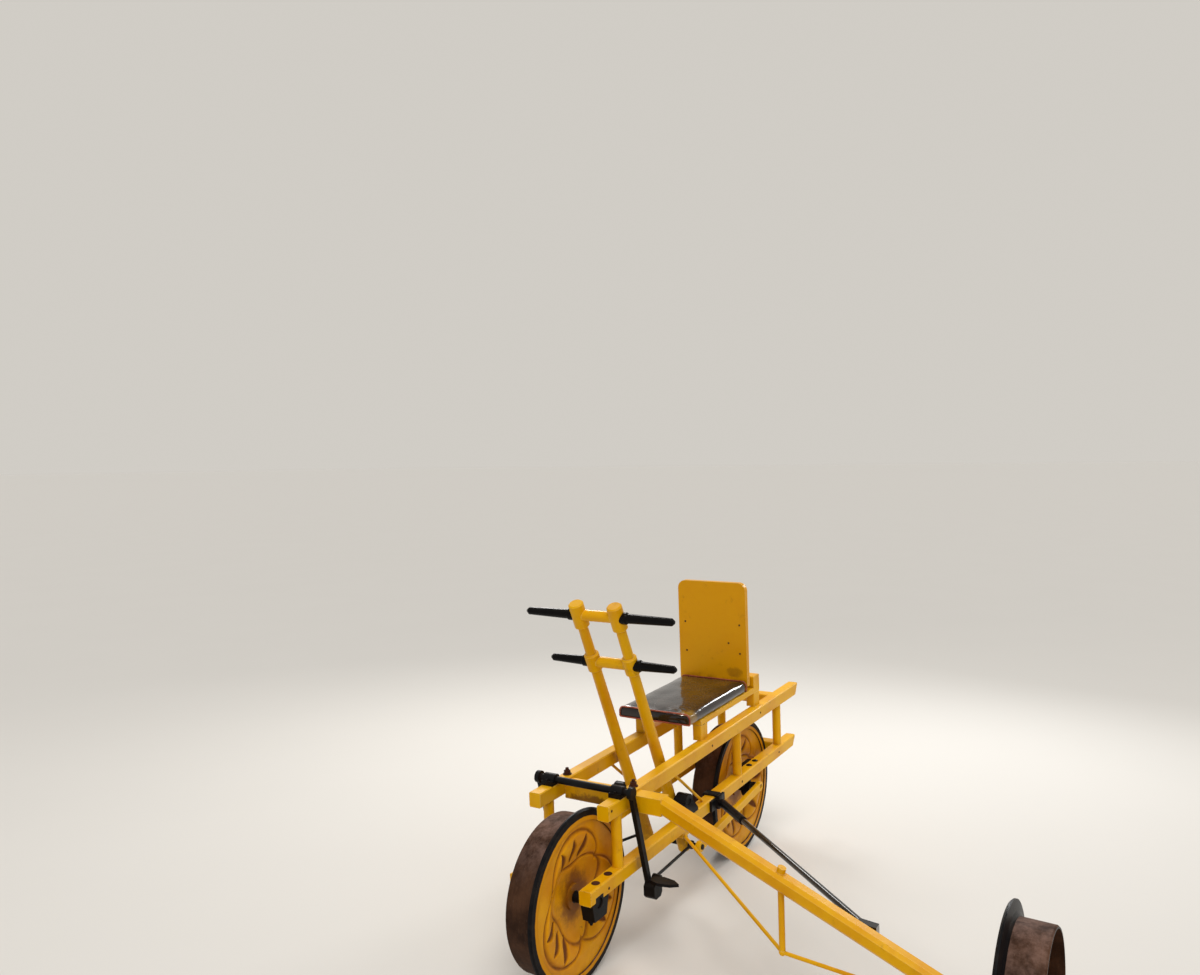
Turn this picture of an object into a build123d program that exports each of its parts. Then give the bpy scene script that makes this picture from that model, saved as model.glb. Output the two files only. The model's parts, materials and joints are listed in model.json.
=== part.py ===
from build123d import *
from math import asin, atan2, cos, degrees, radians, sin, sqrt, tan
import os

os.makedirs("parts", exist_ok=True)

# A three-wheeled railway velocipede in millimetres. It is drawn level along its rails: X runs
# forward from the front axle, Y to the outrigger's side, and Z up from the lower rails' underside.

# Frame timbers
frame_width = 256
rail_width = 37
upper_rail_height = 42
lower_rail_height = 39
rail_spacing = 146
upper_rail_front = -60
upper_rail_overhang = 401
lower_rail_front = 41
lower_rail_overhang = 364
rail_end_rake = 26
timber_chamfer = 3
post_diameter = 30
front_post_x = -125
rear_post_offsets = (124, -231)
cross_timber_height = 34
cross_timber_length = 44
brace_diameter = 9
brace_top_x = -466
brace_bottom_x = -640

# Wheels
gauge = 1067
flange_play = 5
wheelbase = 1037
wheel_radius = 229
outrigger_wheel_radius = 207
flange_height = 22
outrigger_flange_height = 34
flange_thickness = 13
wheel_width = 95
rim_thickness = 9
web_thickness = 6
web_dish = 26
hub_radius = 34
axle_diameter = 28
wheel_face = 72
front_axle_drop = 4
rear_axle_drop = 51
fit_clearance = 0.1
running_clearance = 5

# Front axle boxes and rear axle hangers
box_length = 88
box_depth = 46
box_wall = 15
hanger_width = 13
hanger_length = 70

# Crank and connecting rod
crank_throw = 30
crank_thickness = 9
crank_end_radius = 12
crank_pin_radius = 8
rod_thickness = 16
rod_width = 24
rod_eye_radius = 16
rod_gap = 3

# Hand lever
lever_pivot_x = -520
lever_pivot_z = 83
lever_lean = 24.4
lever_spacing = 126
lever_lower_arm = 185
lever_upper_arm = 706
leg_radius = 20
leg_tip_radius = 14
sleeve_radius = 22
sleeve_lengths = (58, 80)
sleeve_bevel = 4
crossbar_drops = (203, 40)
crossbar_radius = 16
handle_lengths = (145, 179)
handle_root_radius = 17
handle_tip_radius = 11
handle_collar = 9
pivot_radius = 11
pivot_block_length = 58
pin_radius = 8

# Treadle shaft, arms and links
treadle_x = -142
treadle_rise = 13
treadle_lean = 15.5
treadle_arm = 305
treadle_radius = 10
arm_thickness = 13
arm_gap = 15
arm_width = 16
foot_size = 44
foot_width = 34
foot_bevel = 9
foot_reach = 52
foot_drop = -4
blade_length = 85
blade_width = 44
blade_thickness = 8
link_radius = 4.5
link_eye_radius = 13
link_thickness = 7
bearing_length = 46
bearing_wall = 6

# Outrigger
beam_front = -182
beam_size = 46
beam_knee = 88
beam_tip_size = 40
beam_bevel = 9
beam_tip_x = -84
beam_end_gap = 22
beam_tip_top = -70
outrigger_x = -72
outrigger_block_length = 40
outrigger_block_width = 46
stay_root_x = -705
stay_tip_share = 0.65
stay_radius = 9
stay_sleeve_radius = 13
stay_sleeve_length = 150
stay_clamp_length = 96
truss_root_x = -500
truss_share = 0.4
truss_drop = 160
truss_radius = 5
truss_post_radius = 8

# Seat
seat_shift = -20
seat_front = -580
seat_rear = -1021
seat_width = 256
seat_board_thickness = 18
seat_leg_height = 48
seat_leg_length = 46
seat_leg_width = 30
seat_leg_front = -678
cushion_thickness = 46
back_height = 356
back_gap = 18
back_thickness = 18
back_radius = 28
back_post_width = 34
back_post_depth = 34
back_post_height = 250
seat_timber_height = 58
seat_timber_length = 48

# Derived levels and lines
upper_rail_rear = -wheelbase - upper_rail_overhang
lower_rail_rear = -wheelbase - lower_rail_overhang
post_places = (front_post_x, *[offset - wheelbase for offset in rear_post_offsets])
lower_timber_x = -wheelbase - wheel_radius - 15 - cross_timber_length / 2
crossbar_heights = [lever_upper_arm - drop for drop in crossbar_drops]
rail_middle = (frame_width - rail_width) / 2
inner_face = frame_width / 2 - rail_width
outer_face = frame_width / 2
lower_top = lower_rail_height
upper_bottom = lower_top + rail_spacing
upper_top = upper_bottom + upper_rail_height
treadle_z = upper_top + treadle_rise
front_axle_z = -front_axle_drop
rear_axle_z = -rear_axle_drop
stance = degrees(atan2(rear_axle_drop - front_axle_drop, wheelbase))
sides = (("left", 1), ("right", -1))

pieces = []


def keep(part, label):
    """A finished piece takes its name and waits to be set on its wheels."""
    part.label = label
    pieces.append(part)


# Rails: square timbers with eased edges, their rear ends raked back to the top
with BuildPart() as upper_rails:
    with BuildSketch(Plane.XZ.offset(-inner_face)):
        with BuildLine():
            Polyline(
                (upper_rail_front, upper_bottom),
                (upper_rail_front, upper_top),
                (upper_rail_rear, upper_top),
                (upper_rail_rear + rail_end_rake, upper_bottom),
                close=True,
            )
        make_face()
    extrude(amount=-rail_width)
    chamfer(upper_rails.edges().filter_by(Axis.X), timber_chamfer)
    mirror(about=Plane.XZ)
keep(upper_rails.part, "upper_rails")

# The lower rails are let in over the front axle
notch_half = axle_diameter / 2 + running_clearance
notch_top = front_axle_z + notch_half
with BuildPart() as lower_rails:
    with BuildSketch(Plane.XZ.offset(-inner_face)):
        with BuildLine():
            Polyline(
                (lower_rail_front, 0),
                (lower_rail_front, lower_top),
                (lower_rail_rear, lower_top),
                (lower_rail_rear + rail_end_rake, 0),
                close=True,
            )
        make_face()
    extrude(amount=-rail_width)
    chamfer(lower_rails.edges().filter_by(Axis.X), timber_chamfer)
    with Locations((0, rail_middle, 0)):
        Box(
            2 * notch_half,
            rail_width,
            2 * notch_top,
            mode=Mode.SUBTRACT,
        )
    mirror(about=Plane.XZ)
keep(lower_rails.part, "lower_rails")

# Round posts between the rails
with BuildPart() as posts:
    with BuildSketch(Plane.XY.offset(lower_top)):
        with Locations(*[(x, side * rail_middle) for x in post_places for side in (1, -1)]):
            Circle(post_diameter / 2)
    extrude(amount=rail_spacing)
keep(posts.part, "posts")

# Cross timbers behind the rear wheel, one between the upper rails and one between the lower
cross_timber_places = (
    (post_places[-1], 0, upper_bottom + upper_rail_height / 2),
    (lower_timber_x, 0, lower_rail_height / 2),
)
with BuildPart() as cross_timbers:
    with Locations(*cross_timber_places):
        Box(cross_timber_length, 2 * inner_face, cross_timber_height)
    chamfer(cross_timbers.edges().filter_by(Axis.Y), timber_chamfer)
keep(cross_timbers.part, "cross_timbers_rear")

# Thin diagonal braces from the lower rails up to the upper rails
with BuildPart() as braces:
    with BuildLine() as path:
        Line(
            (brace_bottom_x, rail_middle, lower_top + brace_diameter / 2),
            (brace_top_x, rail_middle, upper_bottom - brace_diameter / 2),
        )
    with BuildSketch(Plane(path.line @ 0, z_dir=path.line % 0)):
        Circle(brace_diameter / 2)
    sweep()
    mirror(about=Plane.XZ)
keep(braces.part, "braces")


# Wheels: a flanged tyre, a dished web, and an axle with the hub on it
def wheel_bodies(radius, flange, face, flange_side, ends):
    """Tyre, web and axle turned about Y, with the flange's outer face at the given place."""
    tread = radius - flange
    rim_inner = tread - rim_thickness
    back = face - flange_side * wheel_width

    def along(distance):
        return face - flange_side * distance

    with BuildPart() as tyre:
        with BuildSketch(Plane.YZ):
            with BuildLine():
                Polyline(
                    (along(0), rim_inner),
                    (along(0), radius - flange_thickness / 3),
                    (along(flange_thickness / 3), radius),
                    (along(2 * flange_thickness / 3), radius),
                    (along(flange_thickness), tread + flange / 3),
                    (along(1.4 * flange_thickness), tread),
                    (along(wheel_width - 4), tread - 2),
                    (back, tread - 5),
                    (back, rim_inner),
                    close=True,
                )
            make_face()
        revolve(axis=Axis.Y)
    with BuildPart() as web:
        with BuildSketch(Plane.YZ):
            with BuildLine():
                Polyline(
                    (along(4), rim_inner),
                    (along(4 + web_thickness), rim_inner),
                    (along(4 + web_thickness), 0.78 * tread),
                    (along(4 + web_thickness + web_dish), 0.42 * tread),
                    (along(4 + web_thickness + web_dish), hub_radius),
                    (along(4 + web_dish), hub_radius),
                    (along(4 + web_dish), 0.42 * tread),
                    (along(4), 0.78 * tread),
                    close=True,
                )
            make_face()
        revolve(axis=Axis.Y)
    with BuildPart() as axle:
        cross_cylinder(hub_radius, *sorted((along(web_dish - 6), along(wheel_width - 5))), 0, 0)
        cross_cylinder(axle_diameter / 2, *sorted(ends), 0, 0)
    return tyre.part, web.part, axle.part


def cross_cylinder(radius, low, high, x, z, mode=Mode.ADD):
    """A cylinder along Y between two places."""
    with Locations(Location((x, (low + high) / 2, z), (90, 0, 0))):
        Cylinder(radius, high - low, mode=mode)


hanger_inner = inner_face - hanger_width
crank_face = inner_face + running_clearance
outrigger_face = wheel_face - flange_thickness + gauge - 2 * flange_play - flange_thickness
outrigger_z = front_axle_z + (
    outrigger_wheel_radius - wheel_radius + outrigger_x * sin(radians(stance))
) / cos(radians(stance))
beam_end_y = outrigger_face - beam_end_gap
block_inner = beam_end_y - outrigger_block_length

wheels = (
    # name, radius, flange, flange face, flange side, axle x, axle z, axle ends
    (
        "front",
        wheel_radius,
        flange_height,
        wheel_face,
        1,
        0,
        front_axle_z,
        (-outer_face + 4, outer_face - 4),
    ),
    (
        "rear",
        wheel_radius,
        flange_height,
        wheel_face,
        1,
        -wheelbase,
        rear_axle_z,
        (-hanger_inner - hanger_width - 4, crank_face + crank_thickness),
    ),
    (
        "outrigger",
        outrigger_wheel_radius,
        outrigger_flange_height,
        outrigger_face,
        -1,
        outrigger_x,
        outrigger_z,
        (block_inner - 3, outrigger_face + wheel_width + 8),
    ),
)
for name, radius, flange, face, flange_side, x, z, ends in wheels:
    bodies = wheel_bodies(radius, flange, face, flange_side, ends)
    for part, kind in zip(bodies, ("wheel_tyre", "wheel_web", "axle")):
        keep(part.moved(Location((x, 0, z))), f"{name}_{kind}")

# Front axle boxes under the lower rails, filling the notches above the axle
with BuildPart() as front_boxes:
    with BuildSketch(Plane.XZ.offset(-inner_face)):
        with BuildLine():
            Polyline(
                (-box_length / 2, 0),
                (-0.36 * box_length, -box_depth),
                (0.3 * box_length, -box_depth),
                (0.4 * box_length, 0),
                (notch_half, 0),
                (notch_half, notch_top),
                (-notch_half, notch_top),
                (-notch_half, 0),
                close=True,
            )
        make_face()
        with Locations((0, front_axle_z)):
            Circle(axle_diameter / 2 + fit_clearance, mode=Mode.SUBTRACT)
    extrude(amount=-rail_width)
    mirror(about=Plane.XZ)
keep(front_boxes.part, "front_axle_boxes")

# Rear hangers: plates with a bearing eye, packed off the rails' inner faces
with BuildPart() as hangers:
    with BuildSketch(Plane.XZ.offset(-hanger_inner)):
        with Locations((-wheelbase, rear_axle_z)):
            Circle(axle_diameter / 2 + box_wall)
        with Locations((-wheelbase, (rear_axle_z + lower_rail_height) / 2)):
            Rectangle(2 * (axle_diameter / 2 + box_wall), lower_rail_height - rear_axle_z)
        with Locations((-wheelbase, rear_axle_z)):
            Circle(axle_diameter / 2 + fit_clearance, mode=Mode.SUBTRACT)
    extrude(amount=-hanger_width)
    with BuildSketch(Plane.XZ.offset(-hanger_inner)):
        with Locations((-wheelbase, lower_rail_height / 2)):
            Rectangle(hanger_length, lower_rail_height)
    extrude(amount=hanger_inner - inner_face)
    mirror(about=Plane.XZ)
keep(hangers.part, "rear_hangers")

# Crank, its pin at the rear dead centre
crank_pin_x = -wheelbase - crank_throw
with BuildPart() as crank:
    with BuildSketch(Plane.XZ.offset(-crank_face)):
        with Locations((-wheelbase, rear_axle_z)):
            Circle(axle_diameter / 2 + 8)
        with Locations((crank_pin_x, rear_axle_z)):
            Circle(crank_end_radius)
        with Locations((-wheelbase - crank_throw / 2, rear_axle_z)):
            Rectangle(crank_throw, 1.8 * crank_end_radius)
        with Locations((-wheelbase, rear_axle_z)):
            Circle(axle_diameter / 2, mode=Mode.SUBTRACT)
    extrude(amount=-crank_thickness)
    with BuildSketch(Plane.XZ.offset(-crank_face - crank_thickness)):
        with Locations((crank_pin_x, rear_axle_z)):
            Circle(crank_pin_radius)
    extrude(amount=-4)
keep(crank.part, "crank")

# Hand lever: it is drawn upright on its pivot and then leaned forward
lever_pose = Location((lever_pivot_x, 0, lever_pivot_z), (0, lever_lean, 0))
leg_places = ((0, lever_spacing / 2, 0), (0, -lever_spacing / 2, 0))
leg_bottom = -lever_lower_arm - pin_radius - 10
leg_height = lever_upper_arm - sleeve_bevel - leg_bottom


def leg_blank(mode=Mode.ADD):
    """Both tapered legs with the beveled sleeves where the crossbars pass."""
    with Locations(*[(0, y, leg_bottom) for _, y, _ in leg_places]):
        Cone(
            leg_radius,
            leg_tip_radius,
            leg_height,
            align=(Align.CENTER, Align.CENTER, Align.MIN),
            mode=mode,
        )
    for height, length in zip(crossbar_heights, sleeve_lengths):
        straight = length - 2 * sleeve_bevel
        with Locations(*[(0, y, height) for _, y, _ in leg_places]):
            Cylinder(sleeve_radius, straight, mode=mode)
        with Locations(*[(0, y, height + straight / 2) for _, y, _ in leg_places]):
            Cone(
                sleeve_radius,
                sleeve_radius - sleeve_bevel,
                sleeve_bevel,
                align=(Align.CENTER, Align.CENTER, Align.MIN),
                mode=mode,
            )
        with Locations(*[(0, y, height - straight / 2) for _, y, _ in leg_places]):
            Cone(
                sleeve_radius - sleeve_bevel,
                sleeve_radius,
                sleeve_bevel,
                align=(Align.CENTER, Align.CENTER, Align.MAX),
                mode=mode,
            )


with BuildPart() as lever_legs:
    leg_blank()
    cross_cylinder(pivot_radius, -outer_face, outer_face, 0, 0, Mode.SUBTRACT)
    cross_cylinder(pin_radius, -outer_face, outer_face, 0, -lever_lower_arm, Mode.SUBTRACT)
keep(lever_legs.part.moved(lever_pose), "lever_legs")

with BuildPart() as crossbars:
    for height in crossbar_heights:
        cross_cylinder(crossbar_radius, -lever_spacing / 2, lever_spacing / 2, 0, height)
    leg_blank(Mode.SUBTRACT)
keep(crossbars.part.moved(lever_pose), "lever_crossbars")

# Handles: turned grips with a collar at the root, tapering outwards along a crossbar's line
for level, height, length in zip(("lower", "upper"), crossbar_heights, handle_lengths):
    with BuildPart() as handles:
        for _, side in sides:
            root = side * lever_spacing / 2
            tip = root + side * length
            collar = root + side * (sleeve_radius + handle_collar)
            with BuildSketch(Plane.YZ):
                with BuildLine():
                    Polyline(
                        (root, height),
                        (root, height + handle_root_radius),
                        (collar, height + handle_root_radius),
                        (collar + side * 4, height + handle_root_radius - 3),
                        (tip - side * 8, height + handle_tip_radius),
                        (tip, height + handle_tip_radius - 6),
                        (tip, height),
                        close=True,
                    )
                make_face()
            revolve(axis=Axis((0, 0, height), (0, 1, 0)))
        leg_blank(Mode.SUBTRACT)
    keep(handles.part.moved(lever_pose), f"handles_{level}")

# Pivot shaft in black bearing castings that stand on the lower rails
with BuildPart() as pivot_shaft:
    cross_cylinder(pivot_radius, -outer_face + 2, outer_face - 2, 0, 0)
keep(pivot_shaft.part.moved(lever_pose), "lever_pivot_shaft")
block_radius = pivot_radius + 13
with BuildPart() as blocks:
    with BuildSketch(Plane.XZ.offset(-inner_face)):
        with BuildLine():
            Polyline(
                (lever_pivot_x - pivot_block_length, lower_top),
                (lever_pivot_x - pivot_block_length, lower_top + 9),
                (lever_pivot_x - block_radius, lever_pivot_z),
                (lever_pivot_x + block_radius, lever_pivot_z),
                (lever_pivot_x + pivot_block_length, lower_top + 9),
                (lever_pivot_x + pivot_block_length, lower_top),
                close=True,
            )
        make_face()
        with Locations((lever_pivot_x, lever_pivot_z)):
            Circle(block_radius)
            Circle(pivot_radius + fit_clearance, mode=Mode.SUBTRACT)
    extrude(amount=-rail_width)
    mirror(about=Plane.XZ)
keep(blocks.part, "lever_bearings")

# Drive pin across the lever's lower ends, for the links and the connecting rod
rod_face = crank_face + crank_thickness + 4 + rod_gap
link_face = lever_spacing / 2 + leg_radius + running_clearance
with BuildPart() as drive_pin:
    cross_cylinder(
        pin_radius,
        -link_face - link_thickness - 4,
        rod_face + rod_thickness + 4,
        0,
        -lever_lower_arm,
    )
keep(drive_pin.part.moved(lever_pose), "lever_drive_pin")
drive_x = lever_pivot_x - lever_lower_arm * sin(radians(lever_lean))
drive_z = lever_pivot_z - lever_lower_arm * cos(radians(lever_lean))


def bar_outline(start, end, width, start_radius, end_radius, start_bore, end_bore):
    """A bar with an eye at each end, sketched on the current XZ plane."""
    length = sqrt((end[0] - start[0]) ** 2 + (end[1] - start[1]) ** 2)
    slope = degrees(atan2(end[1] - start[1], end[0] - start[0]))
    middle = ((start[0] + end[0]) / 2, (start[1] + end[1]) / 2)
    with Locations(Location(middle, slope)):
        Rectangle(length, width)
    for place, radius, bore in ((start, start_radius, start_bore), (end, end_radius, end_bore)):
        with Locations(place):
            Circle(radius)
            if bore:
                Circle(bore, mode=Mode.SUBTRACT)


def round_bar(start, end, radius):
    """A straight round bar between two points."""
    run = Vector(end) - Vector(start)
    with Locations(Plane(origin=(Vector(start) + Vector(end)) / 2, z_dir=run).location):
        Cylinder(radius, run.length)


# Connecting rod from the drive pin to the crank
with BuildPart() as rod:
    with BuildSketch(Plane.XZ.offset(-rod_face)):
        bar_outline(
            (drive_x, drive_z),
            (crank_pin_x, rear_axle_z),
            rod_width,
            rod_eye_radius,
            rod_eye_radius,
            pin_radius + fit_clearance,
            crank_pin_radius + fit_clearance,
        )
    extrude(amount=-rod_thickness)
keep(rod.part, "connecting_rod")

# Treadle shaft on the upper rails; outside each an arm with a foot casting and a leaf blade
arm_face = outer_face + arm_gap
treadle_end = arm_face + arm_thickness
foot_x = treadle_x - treadle_arm * sin(radians(treadle_lean))
foot_z = treadle_z - treadle_arm * cos(radians(treadle_lean))
link_pin_x = foot_x - foot_reach
link_pin_z = foot_z - foot_drop
link_tip_face = arm_face - rod_gap - link_thickness
with BuildPart() as treadle_shaft:
    cross_cylinder(treadle_radius, -treadle_end, treadle_end, treadle_x, treadle_z)
keep(treadle_shaft.part, "treadle_shaft")
with BuildPart() as arms:
    with BuildSketch(Plane.XZ.offset(-arm_face)):
        bar_outline(
            (treadle_x, treadle_z),
            (foot_x, foot_z),
            arm_width,
            treadle_radius + 7,
            arm_width,
            treadle_radius,
            0,
        )
        with Locations(((foot_x + link_pin_x) / 2, (foot_z + link_pin_z) / 2)):
            Rectangle(foot_reach, 22)
        with Locations((link_pin_x, link_pin_z)):
            Circle(12)
    extrude(amount=-arm_thickness)
    with BuildSketch(Plane.XZ.offset(-arm_face)):
        with Locations((foot_x, foot_z)):
            foot = Rectangle(foot_size, foot_size)
        chamfer(foot.vertices(), foot_bevel)
    extrude(amount=-foot_width)
    mirror(about=Plane.XZ)
keep(arms.part, "treadle_arms")
with BuildPart() as blades:
    with BuildSketch(Plane.XY.offset(foot_z + foot_size / 2)):
        with BuildLine():
            Polyline(
                (foot_x - 0.3 * blade_width, treadle_end),
                (foot_x - 0.5 * blade_width, treadle_end + 0.35 * blade_length),
                (foot_x - 0.35 * blade_width, treadle_end + 0.75 * blade_length),
                (foot_x, treadle_end + blade_length),
                (foot_x + 0.35 * blade_width, treadle_end + 0.75 * blade_length),
                (foot_x + 0.5 * blade_width, treadle_end + 0.35 * blade_length),
                (foot_x + 0.3 * blade_width, treadle_end),
                close=True,
            )
        make_face()
    extrude(amount=blade_thickness)
    mirror(about=Plane.XZ)
keep(blades.part, "treadle_blades")
with BuildPart() as bearings:
    with BuildSketch(Plane.XZ.offset(-inner_face)):
        with Locations((treadle_x, treadle_z)):
            Circle(treadle_radius + bearing_wall)
        with Locations((treadle_x, upper_top)):
            Rectangle(bearing_length, treadle_rise, align=(Align.CENTER, Align.MIN))
            Rectangle(
                bearing_length,
                treadle_radius + bearing_wall,
                align=(Align.CENTER, Align.MAX),
                mode=Mode.SUBTRACT,
            )
        with Locations((treadle_x, treadle_z)):
            Circle(treadle_radius + fit_clearance, mode=Mode.SUBTRACT)
    extrude(amount=-rail_width)
    mirror(about=Plane.XZ)
keep(bearings.part, "treadle_bearings")
for name, side in sides:
    link_ends = (
        # x, z, inner face, bore
        (drive_x, drive_z, link_face, pin_radius + fit_clearance),
        (link_pin_x, link_pin_z, link_tip_face, pin_radius - 2),
    )
    with BuildPart() as link:
        round_bar(
            *[(x, side * (face + link_thickness / 2), z) for x, z, face, _ in link_ends],
            link_radius,
        )
        for x, z, face, _ in link_ends:
            span = sorted((side * face, side * (face + link_thickness)))
            cross_cylinder(link_eye_radius, *span, x, z)
        for x, z, face, bore in link_ends:
            span = sorted((side * (face - link_radius), side * (face + 3 * link_radius)))
            cross_cylinder(bore, *span, x, z, Mode.SUBTRACT)
    keep(link.part, f"link_{name}")

# Front cross timber between the rails, and the outrigger beam that leaves the left rail in line
beam_middle = beam_front - beam_size / 2
beam_top = upper_top - 8
with BuildPart() as front_timber:
    with Locations((beam_middle, 0, beam_top - beam_size / 2)):
        Box(beam_size, 2 * inner_face, beam_size)
    chamfer(front_timber.edges().filter_by(Axis.Y), timber_chamfer)
keep(front_timber.part, "cross_timber_front")

knee_y = outer_face + beam_knee
slope = (beam_top - beam_tip_top) / (beam_end_y - knee_y)
tilt = atan2(slope, 1)
tip_height = beam_tip_size / cos(tilt)
with BuildPart() as beam_arm:
    with BuildSketch(Plane.XZ.offset(-knee_y)):
        with Locations((beam_middle, beam_top - beam_size / 2)):
            Rectangle(beam_size, beam_size)
    with BuildSketch(Plane.XZ.offset(-beam_end_y)):
        with Locations((beam_tip_x, beam_tip_top - tip_height / 2)):
            Rectangle(beam_tip_size, tip_height)
    loft()
    long_edges = beam_arm.edges().sort_by(SortBy.LENGTH)[-4:]
    chamfer(long_edges, beam_bevel)
with BuildPart() as beam:
    with Locations((beam_middle, outer_face, beam_top)):
        Box(beam_size, beam_knee, beam_size, align=(Align.CENTER, Align.MIN, Align.MAX))
    add(beam_arm.part)
keep(beam.part, "outrigger_beam")


def beam_point(share):
    """The beam's middle, and its half height and half width, a share of the way to its tip."""
    root_low = beam_top - beam_size
    tip_low = beam_tip_top - tip_height
    top = beam_top + share * (beam_tip_top - beam_top)
    low = root_low + share * (tip_low - root_low)
    x = beam_middle + share * (beam_tip_x - beam_middle)
    y = knee_y + share * (beam_end_y - knee_y)
    half = (beam_size + share * (beam_tip_size - beam_size)) / 2
    return x, y, top, low, half


# The outrigger's stub axle turns in a block on the beam's tip
block_top = outrigger_z + axle_diameter / 2 + 12
with BuildPart() as outrigger_block:
    with BuildSketch(Plane.YZ.offset(outrigger_x - outrigger_block_width / 2)):
        with BuildLine():
            Polyline(
                (block_inner, beam_tip_top + slope * outrigger_block_length),
                (block_inner, block_top),
                (beam_end_y, block_top),
                (beam_end_y, beam_tip_top),
                close=True,
            )
        make_face()
    extrude(amount=outrigger_block_width)
    cross_cylinder(
        axle_diameter / 2 + fit_clearance,
        block_inner,
        beam_end_y,
        outrigger_x,
        outrigger_z,
        Mode.SUBTRACT,
    )
keep(outrigger_block.part, "outrigger_axle_block")

# Stay from the lower rail forward to the beam, its inner end held in a clamp's long sleeve
stay_x, stay_y, stay_top, stay_low, stay_half = beam_point(stay_tip_share)
rear_slope = ((beam_tip_x - beam_tip_size / 2) - beam_front + beam_size) / (beam_end_y - knee_y)
stay_level = (stay_top + stay_low) / 2
stay_start = Vector(stay_root_x, outer_face + 8 + stay_sleeve_radius, lower_rail_height / 2)
stay_end = Vector(stay_x - stay_half - 14, stay_y, stay_level)
stay_run = (stay_end - stay_start).normalized()
sleeve_end = stay_start + stay_run * stay_sleeve_length
with BuildPart() as stay_clamp:
    with Locations((stay_root_x, outer_face, lower_rail_height / 2)):
        Box(
            stay_clamp_length,
            8,
            lower_rail_height - 6,
            align=(Align.CENTER, Align.MIN, Align.CENTER),
        )
        Box(
            stay_clamp_length / 3,
            stay_sleeve_radius,
            lower_rail_height - 10,
            align=(Align.CENTER, Align.MIN, Align.CENTER),
        )
    round_bar(stay_start, sleeve_end, stay_sleeve_radius)
keep(stay_clamp.part, "stay_clamp")
with BuildPart() as stay:
    round_bar(sleeve_end, stay_end, stay_radius)
    with BuildSketch(Plane.XY.offset(stay_level - 15)):
        with BuildLine():
            Polyline(
                (stay_x - stay_half - 25 * rear_slope, stay_y - 25),
                (stay_x - stay_half + 25 * rear_slope, stay_y + 25),
                (stay_x - stay_half - 24 + 25 * rear_slope, stay_y + 25),
                (stay_x - stay_half - 24 - 25 * rear_slope, stay_y - 25),
                close=True,
            )
        make_face()
    extrude(amount=30)
keep(stay.part, "stay_rod")

# Truss under the beam: a rod from the lower rail to the post's foot and up to the beam's tip
post_x, post_y, post_top, post_low, post_half = beam_point(truss_share)
truss_foot = Vector(post_x, post_y, post_low - truss_drop)
truss_tip_x, truss_tip_y, _, truss_tip_low, _ = beam_point(0.95)
truss_root = Vector(truss_root_x, rail_middle, -8)
with BuildPart() as truss_rod:
    round_bar(truss_root, truss_foot, truss_radius)
    round_bar(truss_foot, Vector(truss_tip_x, truss_tip_y, truss_tip_low), truss_radius)
    with Locations(tuple(truss_foot)):
        Sphere(truss_radius + 4)
    with Locations((truss_root_x, rail_middle, 0)):
        Box(40, rail_width - 8, 16, align=(Align.CENTER, Align.CENTER, Align.MAX))
    add(beam.part, mode=Mode.SUBTRACT)
keep(truss_rod.part, "truss_rod")
with BuildPart() as truss_post:
    with Locations((post_x, post_y, truss_foot.Z)):
        Cylinder(
            truss_post_radius,
            truss_drop + beam_size / 2,
            align=(Align.CENTER, Align.CENTER, Align.MIN),
        )
    add(beam.part, mode=Mode.SUBTRACT)
    add(truss_rod.part, mode=Mode.SUBTRACT)
keep(truss_post.part.solids().sort_by(SortBy.VOLUME)[-1], "truss_post")

# Seat: legs on the upper rails, a board, a cushion, and a backrest held by two posts
seat_left = seat_shift + seat_width / 2
seat_right = seat_shift - seat_width / 2
board_low = upper_top + seat_leg_height
board_top = board_low + seat_board_thickness
back_rear = seat_rear - back_thickness
timber_front = back_rear - back_post_depth
seat_timber_x = timber_front - seat_timber_length / 2
board_front = seat_leg_front + seat_leg_length / 2
with BuildPart() as seat_legs:
    for x in (seat_leg_front, seat_timber_x):
        for y in (seat_left - seat_leg_width / 2, -outer_face + seat_leg_width / 2):
            with Locations((x, y, upper_top)):
                Box(
                    seat_leg_length,
                    seat_leg_width,
                    seat_leg_height,
                    align=(Align.CENTER, Align.CENTER, Align.MIN),
                )
    chamfer(seat_legs.edges().filter_by(Axis.Z), 2)
keep(seat_legs.part, "seat_legs")
with BuildPart() as seat_board:
    with Locations((timber_front, seat_shift, board_low)):
        Box(
            board_front - timber_front,
            seat_width,
            seat_board_thickness,
            align=(Align.MIN, Align.CENTER, Align.MIN),
        )
    chamfer(seat_board.edges().filter_by(Axis.Y), 2)
keep(seat_board.part, "seat_board")
with BuildPart() as seat_timber:
    with Locations((seat_timber_x, seat_shift, board_low)):
        Box(
            seat_timber_length,
            seat_width,
            seat_timber_height,
            align=(Align.CENTER, Align.CENTER, Align.MIN),
        )
    chamfer(seat_timber.edges().filter_by(Axis.Y), timber_chamfer)
keep(seat_timber.part, "seat_rear_timber")
with BuildPart() as cushion:
    with Locations((seat_rear + 6, seat_shift, board_top)):
        Box(
            seat_front - seat_rear - 6,
            seat_width,
            cushion_thickness,
            align=(Align.MIN, Align.CENTER, Align.MIN),
        )
    fillet(cushion.edges().filter_by(Axis.Z), 22)
    fillet(cushion.faces().sort_by(Axis.Z)[-1].edges(), 9)
keep(cushion.part, "seat_cushion")
with BuildPart() as backrest:
    with BuildSketch(Plane.YZ.offset(back_rear)):
        with Locations((seat_shift, board_top + back_gap)):
            Rectangle(seat_width, back_height, align=(Align.CENTER, Align.MIN))
    extrude(amount=back_thickness)
    top_edges = backrest.edges().filter_by(Axis.X).group_by(Axis.Z)[-1]
    fillet(top_edges, back_radius)
keep(backrest.part, "backrest_board")
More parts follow.
